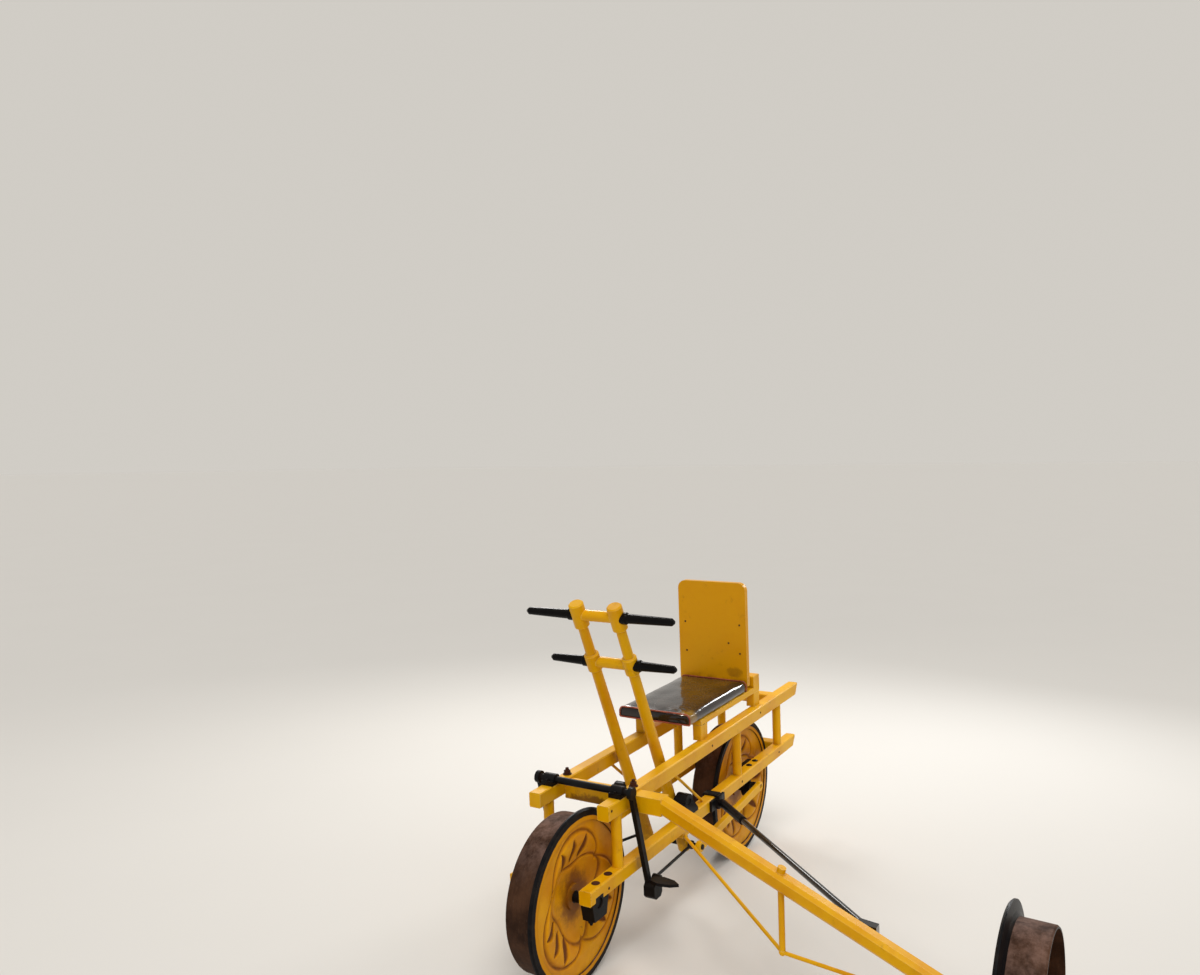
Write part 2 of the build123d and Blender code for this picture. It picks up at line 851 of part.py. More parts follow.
with BuildPart() as back_posts:
    for side in (1, -1):
        with Locations((back_rear, seat_shift + side * 0.3 * seat_width, board_top)):
            Box(
                back_post_depth,
                back_post_width,
                back_post_height,
                align=(Align.MAX, Align.CENTER, Align.MIN),
            )
    chamfer(back_posts.edges().filter_by(Axis.Z), timber_chamfer)
keep(back_posts.part, "backrest_posts")

# Everything is tipped until the wheels share one ground, then moved over its own middle
box = Compound(children=[piece.rotate(Axis.Y, stance) for piece in pieces]).bounding_box()
shift = Vector(-box.center().X, -box.center().Y, -box.min.Z)
for piece in pieces:
    placed = piece.rotate(Axis.Y, stance).moved(Location(shift))
    placed.label = piece.label
    export_step(placed, f"parts/{piece.label}.step")

# The turning axes, and the places where something may be fastened, in metres
handle_tips = [
    (
        lever_pivot_x + height * sin(radians(lever_lean)),
        side * (lever_spacing / 2 + length),
        lever_pivot_z + height * cos(radians(lever_lean)),
    )
    for height, length in zip(crossbar_heights, handle_lengths)
    for side in (1, -1)
]
places = {
    "front_axle": (0, 0, front_axle_z),
    "rear_axle": (-wheelbase, 0, rear_axle_z),
    "outrigger_axle": (outrigger_x, beam_end_y, outrigger_z),
    "lever_pivot": (lever_pivot_x, 0, lever_pivot_z),
    "drive_pin": (drive_x, 0, drive_z),
    "treadle_shaft": (treadle_x, 0, treadle_z),
    "link_pin": (link_pin_x, link_face, link_pin_z),
    "crank_pin": (crank_pin_x, rod_face + rod_thickness, rear_axle_z),
    "handle_lower_left": handle_tips[0],
    "handle_lower_right": handle_tips[1],
    "handle_upper_left": handle_tips[2],
    "handle_upper_right": handle_tips[3],
    "wheel_outer_end": (outrigger_x, outrigger_face + wheel_width + 8, outrigger_z),
    "rail_end_face": (upper_rail_front, rail_middle, upper_bottom + upper_rail_height / 2),
    "lower_end_face": (lower_rail_front, rail_middle, lower_rail_height / 2),
    "seat_timber_top": (seat_timber_x, seat_shift, board_low + seat_timber_height),
}
for name, place in places.items():
    moved = Vertex(*place).rotate(Axis.Y, stance).center() + shift
    print(name, *[round(value / 1000, 6) for value in moved])
print("stance", round(stance, 5), "pieces", len(pieces))
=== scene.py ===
import json
import math
from functools import partial
import bmesh
import bpy
from mathutils import Matrix, Vector, noise


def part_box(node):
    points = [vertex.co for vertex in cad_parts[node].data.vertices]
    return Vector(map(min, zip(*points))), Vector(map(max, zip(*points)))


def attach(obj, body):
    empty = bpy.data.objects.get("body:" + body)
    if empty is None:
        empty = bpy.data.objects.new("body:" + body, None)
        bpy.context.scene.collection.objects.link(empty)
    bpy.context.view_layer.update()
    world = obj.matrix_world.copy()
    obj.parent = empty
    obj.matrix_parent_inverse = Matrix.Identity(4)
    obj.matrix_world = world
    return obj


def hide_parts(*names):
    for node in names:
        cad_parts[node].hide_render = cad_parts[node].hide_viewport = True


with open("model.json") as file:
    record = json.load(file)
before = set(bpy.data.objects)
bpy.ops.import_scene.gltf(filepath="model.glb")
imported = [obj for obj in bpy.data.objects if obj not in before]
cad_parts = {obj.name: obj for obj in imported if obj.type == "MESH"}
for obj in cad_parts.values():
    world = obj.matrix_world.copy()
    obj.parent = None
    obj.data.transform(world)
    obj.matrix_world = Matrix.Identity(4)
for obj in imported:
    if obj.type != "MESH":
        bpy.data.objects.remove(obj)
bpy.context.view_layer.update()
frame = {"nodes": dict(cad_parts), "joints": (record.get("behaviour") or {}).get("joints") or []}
cadNodes = frame["nodes"]
jointAt = {joint["name"]: Vector(joint["pos_m"]) for joint in frame["joints"]}
print("frame loaded:", len(cadNodes), "nodes")

# The machine stands nose down by the tilt of its rails. Places along the rails are given level with
# them, in metres from the front axle and the frame's middle, and railFrame turns them into place.
stance = {
    "railTilt": math.radians(2.59504),
    "axleDrop": 0.004,  # front axle below the lower rails' underside
}
wheelCentre = {wheel: jointAt[wheel + "_wheel_spin"] for wheel in ("front", "rear", "outrigger")}
railTurn = Matrix.Rotation(stance["railTilt"], 4, "Y")
railFrame = Matrix.Translation(wheelCentre["front"]) @ railTurn @ Matrix.Translation((0, 0, stance["axleDrop"]))


def shadeSmooth(mesh, sharpAngle):
    mesh.shade_smooth()
    mesh.set_sharp_from_angle(angle=math.radians(sharpAngle))


def linkMesh(name, mesh, material=None):
    piece = bpy.data.objects.new(name, mesh)
    bpy.context.scene.collection.objects.link(piece)
    if material:
        mesh.materials.clear()
        mesh.materials.append(material)
    return piece


def meshFromBuilder(name, builder):
    bmesh.ops.remove_doubles(builder, verts=builder.verts, dist=1e-6)
    bmesh.ops.recalc_face_normals(builder, faces=builder.faces)
    mesh = bpy.data.meshes.new(name)
    builder.to_mesh(mesh)
    builder.free()
    return mesh


def turnOutwards(mesh, sideY=0):
    # An open plate has no outside of its own, so sideY says which side of Y it shows
    builder = bmesh.new()
    builder.from_mesh(mesh)
    bmesh.ops.recalc_face_normals(builder, faces=builder.faces)
    if sideY * sum(face.normal.y for face in builder.faces) < 0:
        bmesh.ops.reverse_faces(builder, faces=builder.faces)
    builder.to_mesh(mesh)
    builder.free()


def bakeModifiers(piece):
    bpy.context.view_layer.update()
    graph = bpy.context.evaluated_depsgraph_get()
    finished = bpy.data.meshes.new_from_object(piece.evaluated_get(graph))
    piece.modifiers.clear()
    old = piece.data
    piece.data = finished
    bpy.data.meshes.remove(old)
    finished.name = piece.name


def addNode(tree, kind, wires=None, **settings):
    node = tree.nodes.new(kind)
    for key, value in settings.items():
        setattr(node, key, value)
    for key, value in (wires or {}).items():
        socket = node.inputs[key]
        if isinstance(value, bpy.types.NodeSocket):
            tree.links.new(value, socket)
        else:
            socket.default_value = value
    return node


def calc(tree, operation, first, second=0.0, clamp=False):
    node = addNode(tree, "ShaderNodeMath", {0: first, 1: second}, operation=operation, use_clamp=clamp)
    return node.outputs[0]


def plus(tree, first, second, clamp=False):
    return calc(tree, "ADD", first, second, clamp)


def minus(tree, first, second):
    return calc(tree, "SUBTRACT", first, second)


def times(tree, first, second, clamp=False):
    return calc(tree, "MULTIPLY", first, second, clamp)


def ramp(tree, value, low, high, toLow=0.0, toHigh=1.0, curve="SMOOTHSTEP"):
    wires = {"Value": value, "From Min": low, "From Max": high, "To Min": toLow, "To Max": toHigh}
    return addNode(tree, "ShaderNodeMapRange", wires, interpolation_type=curve).outputs["Result"]


def noiseAt(tree, vector, scale, detail=4.0, roughness=0.55):
    wires = {"Vector": vector, "Scale": scale, "Detail": detail, "Roughness": roughness}
    return addNode(tree, "ShaderNodeTexNoise", wires).outputs[0]


def swayed(tree, base, swing, wave, middle=0.0):
    # A value that a wave of 0 to 1 moves by the swing, to both sides where the middle is 0.5
    return plus(tree, base, times(tree, minus(tree, wave, middle) if middle else wave, swing))


def blend(tree, factor, first, second):
    node = addNode(tree, "ShaderNodeMix", data_type="RGBA", blend_type="MIX", clamp_factor=True)
    for index, value in ((0, factor), (6, first), (7, second)):
        if isinstance(value, bpy.types.NodeSocket):
            tree.links.new(value, node.inputs[index])
        else:
            node.inputs[index].default_value = (*value, 1.0) if index else value
    return node.outputs[2]


def faceNormal(tree):
    return addNode(tree, "ShaderNodeNewGeometry").outputs["Normal"]


def partOf(tree, vector):
    return addNode(tree, "ShaderNodeSeparateXYZ", {0: vector}).outputs


def newGroup(name, kind, inputs, outputs):
    tree = bpy.data.node_groups.new(name, kind)
    for label, socketType, value in inputs:
        socket = tree.interface.new_socket(name=label, in_out="INPUT", socket_type="NodeSocket" + socketType)
        if value is not None:
            socket.default_value = value
    for label, socketType in outputs:
        tree.interface.new_socket(name=label, in_out="OUTPUT", socket_type="NodeSocket" + socketType)
    return tree, tree.nodes.new("NodeGroupInput").outputs, tree.nodes.new("NodeGroupOutput").inputs


# Shader groups that the finishes share. Each puts out masks and heights only.
wearRule = {
    "flat": 0.995, "sharp": 0.82,  # how alike the true and the rounded normal are
    "patchScale": 9.0, "patchShare": 0.7, "edgeShare": 0.42,
    "threshold": 1.72, "amountShare": 0.7, "softness": 0.06,
}
tree, given, result = newGroup(
    "edgeWearAndHighlight", "ShaderNodeTree",
    [("Vector", "Vector", None), ("Width", "Float", 0.003), ("Scale", "Float", 70.0), ("Amount", "Float", 0.5)],
    [("Edge", "Float"), ("Chips", "Float")],
)
wearGroup = tree
rounded = addNode(tree, "ShaderNodeBevel", {"Radius": given["Width"]}, samples=4).outputs["Normal"]
wires = {0: rounded, 1: faceNormal(tree)}
alike = addNode(tree, "ShaderNodeVectorMath", wires, operation="DOT_PRODUCT").outputs["Value"]
edge = ramp(tree, alike, wearRule["flat"], wearRule["sharp"])
speckle = noiseAt(tree, given["Vector"], given["Scale"], 5.0, 0.62)
patches = noiseAt(tree, given["Vector"], wearRule["patchScale"], 3.0, 0.5)
rough = plus(tree, speckle, times(tree, patches, wearRule["patchShare"]))
pushed = plus(tree, rough, times(tree, edge, wearRule["edgeShare"]))
level = minus(tree, wearRule["threshold"], times(tree, given["Amount"], wearRule["amountShare"]))
# The Edge mask serves a painted highlight along edges; Chips is real wear
tree.links.new(edge, result["Edge"])
tree.links.new(ramp(tree, minus(tree, pushed, level), 0.0, wearRule["softness"]), result["Chips"])

tree, given, result = newGroup(
    "grimeAndShade", "ShaderNodeTree",
    [("Vector", "Vector", None), ("Reach", "Float", 0.03), ("Scale", "Float", 24.0)],
    [("Mask", "Float")],
)
shadeAndGrimeGroup = tree
# Painted shade: darker where ambient occlusion finds hollows and parts close together, broken up by a grime noise
hollow = addNode(tree, "ShaderNodeAmbientOcclusion", {"Distance": given["Reach"]}, samples=6).outputs["AO"]
smear = ramp(tree, noiseAt(tree, given["Vector"], given["Scale"], 5.0, 0.6), 0.32, 0.68)
tree.links.new(times(tree, ramp(tree, hollow, 0.92, 0.3), smear, True), result["Mask"])

tree, given, result = newGroup(
    "grain", "ShaderNodeTree",
    [("Vector", "Vector", None), ("Scale", "Float", 120.0)],
    [("Height", "Float"), ("Streaks", "Float")],
)
grainGroup = tree
fine = noiseAt(tree, given["Vector"], given["Scale"], 6.0, 0.65)
wide = noiseAt(tree, given["Vector"], times(tree, given["Scale"], 0.3), 3.0, 0.5)
tree.links.new(plus(tree, times(tree, fine, 0.4), wide), result["Height"])
tree.links.new(ramp(tree, wide, 0.44, 0.72), result["Streaks"])

tree, given, result = newGroup(
    "dustAndPaintedLight", "ShaderNodeTree",
    [("Vector", "Vector", None), ("Scale", "Float", 14.0), ("Amount", "Float", 0.4)],
    [("Mask", "Float")],
)
dustAndLightGroup = tree
# Faces that point up: dust lying on top, and on the tyres painted light on the tread's top
upward = partOf(tree, faceNormal(tree))["Z"]
drift = ramp(tree, noiseAt(tree, given["Vector"], given["Scale"], 6.0, 0.7), 0.3, 0.75)
dustAndLightOnTop = times(tree, ramp(tree, upward, 0.35, 0.95), drift)
tree.links.new(times(tree, dustAndLightOnTop, given["Amount"]), result["Mask"])
print("shared effects made")


def useGroup(tree, group, wires):
    return addNode(tree, "ShaderNodeGroup", wires, node_tree=group).outputs


def wearAt(tree, vector, width, scale, amount):
    return useGroup(tree, wearGroup, {"Vector": vector, "Width": width, "Scale": scale, "Amount": amount})


def shadeAndGrimeAt(tree, vector, reach, scale):
    return useGroup(tree, shadeAndGrimeGroup, {"Vector": vector, "Reach": reach, "Scale": scale})["Mask"]


def dustAndLightAt(tree, vector, scale, amount):
    return useGroup(tree, dustAndLightGroup, {"Vector": vector, "Scale": scale, "Amount": amount})["Mask"]


def measuredFrom(tree, place, centre, size=(1.0, 1.0, 1.0)):
    # Object coordinates from a centre, in units of the size
    shift = tuple(-part / unit for part, unit in zip(centre, size))
    scale = tuple(1 / unit for unit in size)
    return addNode(tree, "ShaderNodeMapping", {"Vector": place, "Location": shift, "Scale": scale}).outputs[0]


def lengthOf(tree, vector):
    return addNode(tree, "ShaderNodeVectorMath", {0: vector}, operation="LENGTH").outputs["Value"]


def wheelRadius(tree, parts):
    squares = [calc(tree, "POWER", parts[axis], 2.0) for axis in ("X", "Z")]
    return calc(tree, "SQRT", plus(tree, *squares))


def newMaterial(name, look):
    material = bpy.data.materials.new(name)
    material.use_nodes = True
    tree = material.node_tree
    shader = tree.nodes["Principled BSDF"]
    for key, socket, usual in (("roughness", "Roughness", 0.5), ("specular", "Specular IOR Level", 0.36),
                               ("coat", "Coat Weight", 0.0), ("coatRoughness", "Coat Roughness", 0.2)):
        shader.inputs[socket].default_value = look.get(key, usual)
    return material, tree, shader, addNode(tree, "ShaderNodeTexCoord").outputs["Object"]


def dress(tree, shader, look, colour, matt, height):
    strength, distance = look["bump"]
    bump = addNode(tree, "ShaderNodeBump", {"Strength": strength, "Distance": distance, "Height": height})
    for output, socket in ((colour, "Base Color"), (matt, "Roughness"), (bump.outputs["Normal"], "Normal")):
        tree.links.new(output, shader.inputs[socket])


paint = {
    "bright": (0.77, 0.400, 0.001), "deep": (0.66, 0.280, 0.001), "grimeAndShade": (0.19, 0.070, 0.004),
    "bare": (0.10, 0.045, 0.016), "dustAndPaintedLight": (0.86, 0.63, 0.19), "rust": (0.115, 0.036, 0.010),
    "coat": 0.08, "coatRoughness": 0.10, "specular": 0.10,
    "grainStretch": 0.06, "grainScale": 130.0, "streaks": 0.30, "grainHeight": 0.6, "brushHeight": 0.35,
    "edgeWidth": 0.004, "chipScale": 85.0, "chipDepth": 0.9, "edgeHighlight": 0.42, "dustAndLightAmount": 0.04,
    "stains": 0.50, "hollows": 0.85, "raggedness": 1.3, "bump": (0.55, 0.0012),
}
darkPatches = {
    # piece: middle of the dark patch on the rails' own axes, its half sizes, how dark it is
    # a darker patch over the lower part of the front cross timber's face
    "crossTimber": ((-0.182, 0.0, 0.170), (0.030, 0.110, 0.030), 0.85),
    "backrest": ((-1.02, 0.060, 0.355), (0.05, 0.036, 0.022), 0.45),
    "lever": ((-0.50, 0.0, -0.05), (0.12, 0.30, 0.13), 0.60),
}


def yellowPaint(
    name, grainTurn=(0, 0, 0), grain=1.0, wear=0.50, roughness=0.24, chips="bare", brightest=1.0, darkPatch=None,
):
    material, tree, shader, place = newMaterial(name, paint)
    stretch = (paint["grainStretch"], 1.0, 1.0)
    drawn = addNode(tree, "ShaderNodeMapping", {"Vector": place, "Rotation": grainTurn, "Scale": stretch}).outputs[0]
    fibres = useGroup(tree, grainGroup, {"Vector": drawn, "Scale": paint["grainScale"]})
    wearAndHighlight = wearAt(tree, place, paint["edgeWidth"], paint["chipScale"], wear)
    tone = ramp(tree, noiseAt(tree, place, 6.0, 5.0), 0.22, 0.60, 0.0, brightest)
    colour = blend(tree, tone, paint["deep"], paint["bright"])
    colour = blend(tree, times(tree, fibres["Streaks"], paint["streaks"] * grain), colour, paint["deep"])
    colour = blend(tree, dustAndLightAt(tree, place, 18.0, paint["dustAndLightAmount"]), colour, paint["dustAndPaintedLight"])
    stain = ramp(tree, noiseAt(tree, place, 21.0, 6.0, 0.7), 0.58, 0.78, 0.0, paint["stains"])
    colour = blend(tree, stain, colour, paint["grimeAndShade"])
    # Painted shade in hollows and between parts, mixed with grime
    colour = blend(tree, times(tree, shadeAndGrimeAt(tree, place, 0.035, 30.0), paint["hollows"]), colour, paint["grimeAndShade"])
    if darkPatch:
        middle, size, amount = darkPatch
        away = lengthOf(tree, measuredFrom(tree, place, railFrame @ Vector(middle), size))
        ragged = swayed(tree, away, paint["raggedness"], noiseAt(tree, place, 55.0, 6.0, 0.75), 0.5)
        colour = blend(tree, ramp(tree, ragged, 1.0, 0.55, 0.0, amount), colour, paint["grimeAndShade"])
    # Painted highlight: a pale line along every edge, where edges catch the light
    colour = blend(tree, times(tree, wearAndHighlight["Edge"], paint["edgeHighlight"]), colour, paint["dustAndPaintedLight"])
    colour = blend(tree, wearAndHighlight["Chips"], colour, paint[chips])
    matt = swayed(tree, roughness, 0.22, noiseAt(tree, place, 33.0, 5.0))
    matt = plus(tree, matt, times(tree, wearAndHighlight["Chips"], 0.3), True)
    brushing = times(tree, noiseAt(tree, place, 95.0, 3.0), paint["brushHeight"])
    height = plus(tree, times(tree, fibres["Height"], paint["grainHeight"] * grain), brushing)
    height = plus(tree, height, times(tree, wearAndHighlight["Chips"], -paint["chipDepth"]))
    dress(tree, shader, paint, colour, matt, height)
    return material


iron = {
    "tint": (0.0045, 0.0045, 0.005), "lighter": 1.7, "dustAndPaintedLight": (0.07, 0.058, 0.048), "dustAndLightAmount": 0.07,
    "grimeAndShade": (0.035, 0.018, 0.010), "hollows": 0.6, "chips": (0.085, 0.040, 0.022), "chipDepth": 0.5,
    "coatRoughness": 0.10, "specular": 0.06, "edgeWidth": 0.0025, "bump": (0.5, 0.0012),
}


def blackIron(name, tint=iron["tint"], roughness=0.26, wear=0.20, coat=0.08, casting=1.0):
    material, tree, shader, place = newMaterial(name, {**iron, "coat": coat})
    wearAndHighlight = wearAt(tree, place, iron["edgeWidth"], 110.0, wear)
    tone = ramp(tree, noiseAt(tree, place, 24.0, 5.0), 0.35, 0.7)
    colour = blend(tree, tone, tint, [iron["lighter"] * part for part in tint])
    colour = blend(tree, dustAndLightAt(tree, place, 30.0, iron["dustAndLightAmount"]), colour, iron["dustAndPaintedLight"])
    # Painted shade in hollows and between parts, mixed with grime
    colour = blend(tree, times(tree, shadeAndGrimeAt(tree, place, 0.02, 40.0), iron["hollows"]), colour, iron["grimeAndShade"])
    colour = blend(tree, wearAndHighlight["Chips"], colour, iron["chips"])
    matt = swayed(tree, roughness, 0.25, noiseAt(tree, place, 60.0, 5.0))
    matt = plus(tree, matt, times(tree, wearAndHighlight["Chips"], 0.25), True)
    sand, lumps = (times(tree, noiseAt(tree, place, scale, 4.0), 0.5 * casting) for scale in (260.0, 45.0))
    height = minus(tree, plus(tree, sand, lumps), times(tree, wearAndHighlight["Chips"], iron["chipDepth"]))
    dress(tree, shader, iron, colour, matt, height)
    return material


tyreLook = {
    "tread": ((0.024, 0.010, 0.005), (0.078, 0.035, 0.018)), "rings": (0.022, 0.011, 0.008),
    "dustAndPaintedLight": (0.31, 0.185, 0.145), "dustAndLightAmount": 0.55, "scratch": (0.27, 0.19, 0.15), "scratches": 0.35,
    "black": ((0.005, 0.005, 0.006), (0.014, 0.011, 0.010)), "chips": (0.10, 0.055, 0.038),
    "rim": (0.62, 0.255, 0.002), "rimEdge": (0.0055, 0.0035), "flangeTip": (0.006, 0.010),
    "specular": 0.06, "matt": 0.62, "bump": (0.5, 0.0010),
}


def tyreSteel(name, centre, treadRadius, flangeSide):
    # Brown worn tread, black painted faces, and a yellow rim on the face beside the web
    material, tree, shader, place = newMaterial(name, tyreLook)
    local = measuredFrom(tree, place, centre)
    parts = partOf(tree, local)
    reach = wheelRadius(tree, parts)
    across = partOf(tree, faceNormal(tree))["Y"]
    # Scratches run round the tread, so they read the angle and the place across it
    around = times(tree, calc(tree, "ARCTAN2", parts["Z"], parts["X"]), 0.35)
    wrapped = addNode(tree, "ShaderNodeCombineXYZ", {"X": around, "Y": times(tree, parts["Y"], 22.0)}).outputs[0]
    rings = noiseAt(tree, wrapped, 5.0, 7.0, 0.7)
    scratches = ramp(tree, noiseAt(tree, wrapped, 16.0, 4.0, 0.8), 0.61, 0.70)
    colour = blend(tree, ramp(tree, noiseAt(tree, local, 11.0, 6.0, 0.65), 0.33, 0.7), *tyreLook["tread"])
    colour = blend(tree, ramp(tree, rings, 0.42, 0.75, 0.0, 0.55), colour, tyreLook["rings"])
    # Painted light and dust: the tread's top faces are made lighter, as light from above makes them
    colour = blend(tree, dustAndLightAt(tree, local, 26.0, tyreLook["dustAndLightAmount"]), colour, tyreLook["dustAndPaintedLight"])
    colour = blend(tree, times(tree, scratches, tyreLook["scratches"]), colour, tyreLook["scratch"])
    side = ramp(tree, calc(tree, "ABSOLUTE", across), 0.55, 0.75)
    tip = ramp(tree, reach, *(treadRadius + step for step in tyreLook["flangeTip"]))
    painted = swayed(tree, calc(tree, "MAXIMUM", side, tip), 0.25, noiseAt(tree, local, 70.0, 4.0))
    painted = ramp(tree, painted, 0.5, 0.8)
    black = blend(tree, ramp(tree, noiseAt(tree, local, 40.0, 5.0), 0.4, 0.75), *tyreLook["black"])
    black = blend(tree, wearAt(tree, local, 0.002, 90.0, 0.35)["Chips"], black, tyreLook["chips"])
    colour = blend(tree, painted, colour, black)
    outer = ramp(tree, times(tree, across, flangeSide), 0.55, 0.75)
    inset = swayed(tree, reach, 0.004, noiseAt(tree, local, 50.0, 4.0))
    rim = times(tree, outer, ramp(tree, inset, *(treadRadius + step for step in tyreLook["rimEdge"])))
    colour = blend(tree, rim, colour, tyreLook["rim"])
    matt = minus(tree, tyreLook["matt"], times(tree, painted, 0.24))
    matt = minus(tree, matt, times(tree, scratches, 0.15))
    height = plus(tree, times(tree, rings, 0.5), times(tree, noiseAt(tree, local, 180.0, 5.0, 0.7), 0.45))
    dress(tree, shader, tyreLook, colour, matt, height)
    return material


webLook = {
    "enamel": ((0.60, 0.225, 0.001), (0.73, 0.335, 0.001)), "coat": 0.06, "coatRoughness": 0.14, "specular": 0.10,
    "hubGrease": (0.17, 0.052, 0.008), "greaseReach": (0.088, 0.034), "greaseAmount": 0.85,
    "rimDirt": (0.34, 0.12, 0.004), "rimReach": (0.175, 0.215), "rimAmount": 0.22,
    "stain": (0.22, 0.080, 0.012), "hollows": 0.8, "besideGrooveShade": (0.42, 0.135, 0.003),
    "grooveShade": (0.120, 0.032, 0.007), "shaft": (0.006, 0.005, 0.005), "shaftEdge": 0.002,
    "bump": (0.45, 0.0010),
}


def webPaint(name, centre, shaftRadius=0.0):
    # Yellow enamel that is brown with grease round the hub, with painted shade in the pressed grooves and slots
    material, tree, shader, place = newMaterial(name, webLook)
    local = measuredFrom(tree, place, centre)
    reach = wheelRadius(tree, partOf(tree, local))
    pressed = addNode(
        tree, "ShaderNodeAttribute", attribute_name="pressed", attribute_type="GEOMETRY",
    ).outputs["Fac"]
    chips = wearAt(tree, local, 0.003, 75.0, 0.42)["Chips"]
    colour = blend(tree, ramp(tree, noiseAt(tree, local, 9.0, 6.0, 0.6), 0.3, 0.72), *webLook["enamel"])
    smear = swayed(tree, reach, 0.12, noiseAt(tree, local, 22.0, 6.0, 0.7), 0.5)
    grease = ramp(tree, smear, *webLook["greaseReach"], 0.0, webLook["greaseAmount"])
    colour = blend(tree, grease, colour, webLook["hubGrease"])
    rimDirt = ramp(tree, smear, *webLook["rimReach"], 0.0, webLook["rimAmount"])
    colour = blend(tree, rimDirt, colour, webLook["rimDirt"])
    stain = ramp(tree, noiseAt(tree, local, 34.0, 6.0, 0.75), 0.60, 0.74, 0.0, 0.55)
    colour = blend(tree, stain, colour, webLook["stain"])
    # Painted shade in hollows and between parts, mixed with grime
    colour = blend(tree, times(tree, shadeAndGrimeAt(tree, local, 0.03, 26.0), webLook["hollows"]), colour, paint["grimeAndShade"])
    # Painted shade: darker in the pressed grooves and slots, and a little beside them
    grooveShadeMask = ramp(tree, swayed(tree, pressed, 0.5, noiseAt(tree, local, 55.0, 4.0), 0.5), 0.18, 0.90, 0.0, 0.94)
    colour = blend(tree, ramp(tree, pressed, 0.02, 0.35, 0.0, 0.40), colour, webLook["besideGrooveShade"])
    colour = blend(tree, grooveShadeMask, colour, webLook["grooveShade"])
    colour = blend(tree, chips, colour, paint["rust"])
    if shaftRadius:
        inside = ramp(tree, reach, shaftRadius + webLook["shaftEdge"], shaftRadius)
        colour = blend(tree, inside, colour, webLook["shaft"])
    matt = swayed(tree, 0.30, 0.3, noiseAt(tree, local, 40.0, 5.0))
    matt = plus(tree, matt, times(tree, grooveShadeMask, 0.2), True)
    height = minus(tree, noiseAt(tree, local, 120.0, 5.0), times(tree, chips, 0.6))
    dress(tree, shader, webLook, colour, matt, height)
    return material


turnAcross = (0, 0, math.radians(90))
turnUp = (0, math.radians(90), 0)
timberAlong = yellowPaint("yellowTimberAlong", wear=0.60)
timberAcross = yellowPaint("yellowTimberAcross", turnAcross, darkPatch=darkPatches["crossTimber"])
timberUpright = yellowPaint("yellowTimberUpright", turnUp)
# Painted shade: the backrest board is held mostly to the deep, more orange tone that the paint shows on shaded faces
shadedBoardPaint = yellowPaint("yellowBoardShaded", turnUp, grain=0.8, wear=0.36, brightest=0.30, darkPatch=darkPatches["backrest"])
polePaint = yellowPaint("yellowPole", turnUp, grain=0.5, wear=0.30, roughness=0.20, darkPatch=darkPatches["lever"])
ironYellow = yellowPaint("yellowIron", turnAcross, grain=0.0, wear=0.42, chips="rust")
ironBlack = blackIron("blackCasting")
forgedBlack = blackIron("blackForging", roughness=0.32, casting=0.6)
glossBlack = blackIron("blackGloss", (0.004, 0.004, 0.005), 0.06, wear=0.06, coat=1.0, casting=0.05)
gripBlack = blackIron("blackGrip", (0.002, 0.0017, 0.0017), 0.12, wear=0.08, coat=0.06, casting=0.12)
screwIron = blackIron("rustyScrew", (0.050, 0.018, 0.010), 0.55, wear=0.5, coat=0.0)

tyres = {
    # side is the one that the flange and the web's face are on, along Y
    "front": {"tread": 0.207, "side": 1.0, "body": "front_wheelset"},
    "rear": {"tread": 0.207, "side": 1.0, "body": "rear_wheelset"},
    "outrigger": {"tread": 0.173, "side": -1.0, "body": "outrigger_wheelset"},
}
axleRadius = 0.0150
finishes = [
    (timberAlong, "upper_rails lower_rails seat_board"),
    (timberAcross, "cross_timber_front cross_timbers_rear outrigger_beam seat_rear_timber"),
    (timberUpright, "posts seat_legs backrest_posts"),
    (shadedBoardPaint, "backrest_board"),
    (polePaint, "lever_legs lever_crossbars"),
    (ironYellow, "braces truss_rod truss_post connecting_rod"),
    (ironBlack, "front_axle_boxes rear_hangers lever_bearings treadle_bearings outrigger_axle_block stay_clamp"),
    (forgedBlack, "crank lever_pivot_shaft lever_drive_pin treadle_shaft treadle_arms treadle_blades"),
    (forgedBlack, "link_left link_right"),
    (glossBlack, "stay_rod"),
    (gripBlack, "handles_lower handles_upper"),
]
for wheel, sizes in tyres.items():
    tyrePaint = tyreSteel(wheel + "Tyre", wheelCentre[wheel], sizes["tread"], sizes["side"])
    hubPaint = webPaint(wheel + "HubPaint", wheelCentre[wheel], axleRadius)
    finishes += [(tyrePaint, wheel + "_wheel_tyre"), (hubPaint, wheel + "_axle")]
for material, names in finishes:
    for node in names.split():
        slots = cadNodes[node].data.materials
        slots.clear()
        slots.append(material)
print("finishes made:", len(bpy.data.materials), "materials")


# A pressed web: a dished disc with a lobed groove, a wavy inner groove and slots in each lobe
pressedWeb = {
    "Inner Radius": 0.031, "Rim Land": 0.78, "Hub Land": 0.42, "Dish": 0.026, "Lobes": 3.0,
    "Lobe Root": 0.118, "Lobe Reach": 0.062, "Lobe Turn": math.radians(-40.0), "Lobe Power": 0.8,
    "Lobe Rise": 0.003, "Rise Width": 0.012,
    "Wave Radius": 0.104, "Wave Height": 0.020, "Wave Turn": math.radians(25.0),
    "Groove Width": 0.0088, "Groove Depth": 0.0042, "Groove Tone": 0.62, "Slot Angle": math.radians(21.0),
    "Slot Start": 0.095, "Slot End": 0.166, "Slot Width": 0.0150, "Slot Depth": 0.0058, "Slot Close": 0.12,
}
webGrid = {"Size X": 1.0, "Size Y": 1.0, "Vertices X": 361, "Vertices Y": 84}
leafEdge, leafTip, plateThickness = (1.25, 0.25), 0.0001, 0.0045
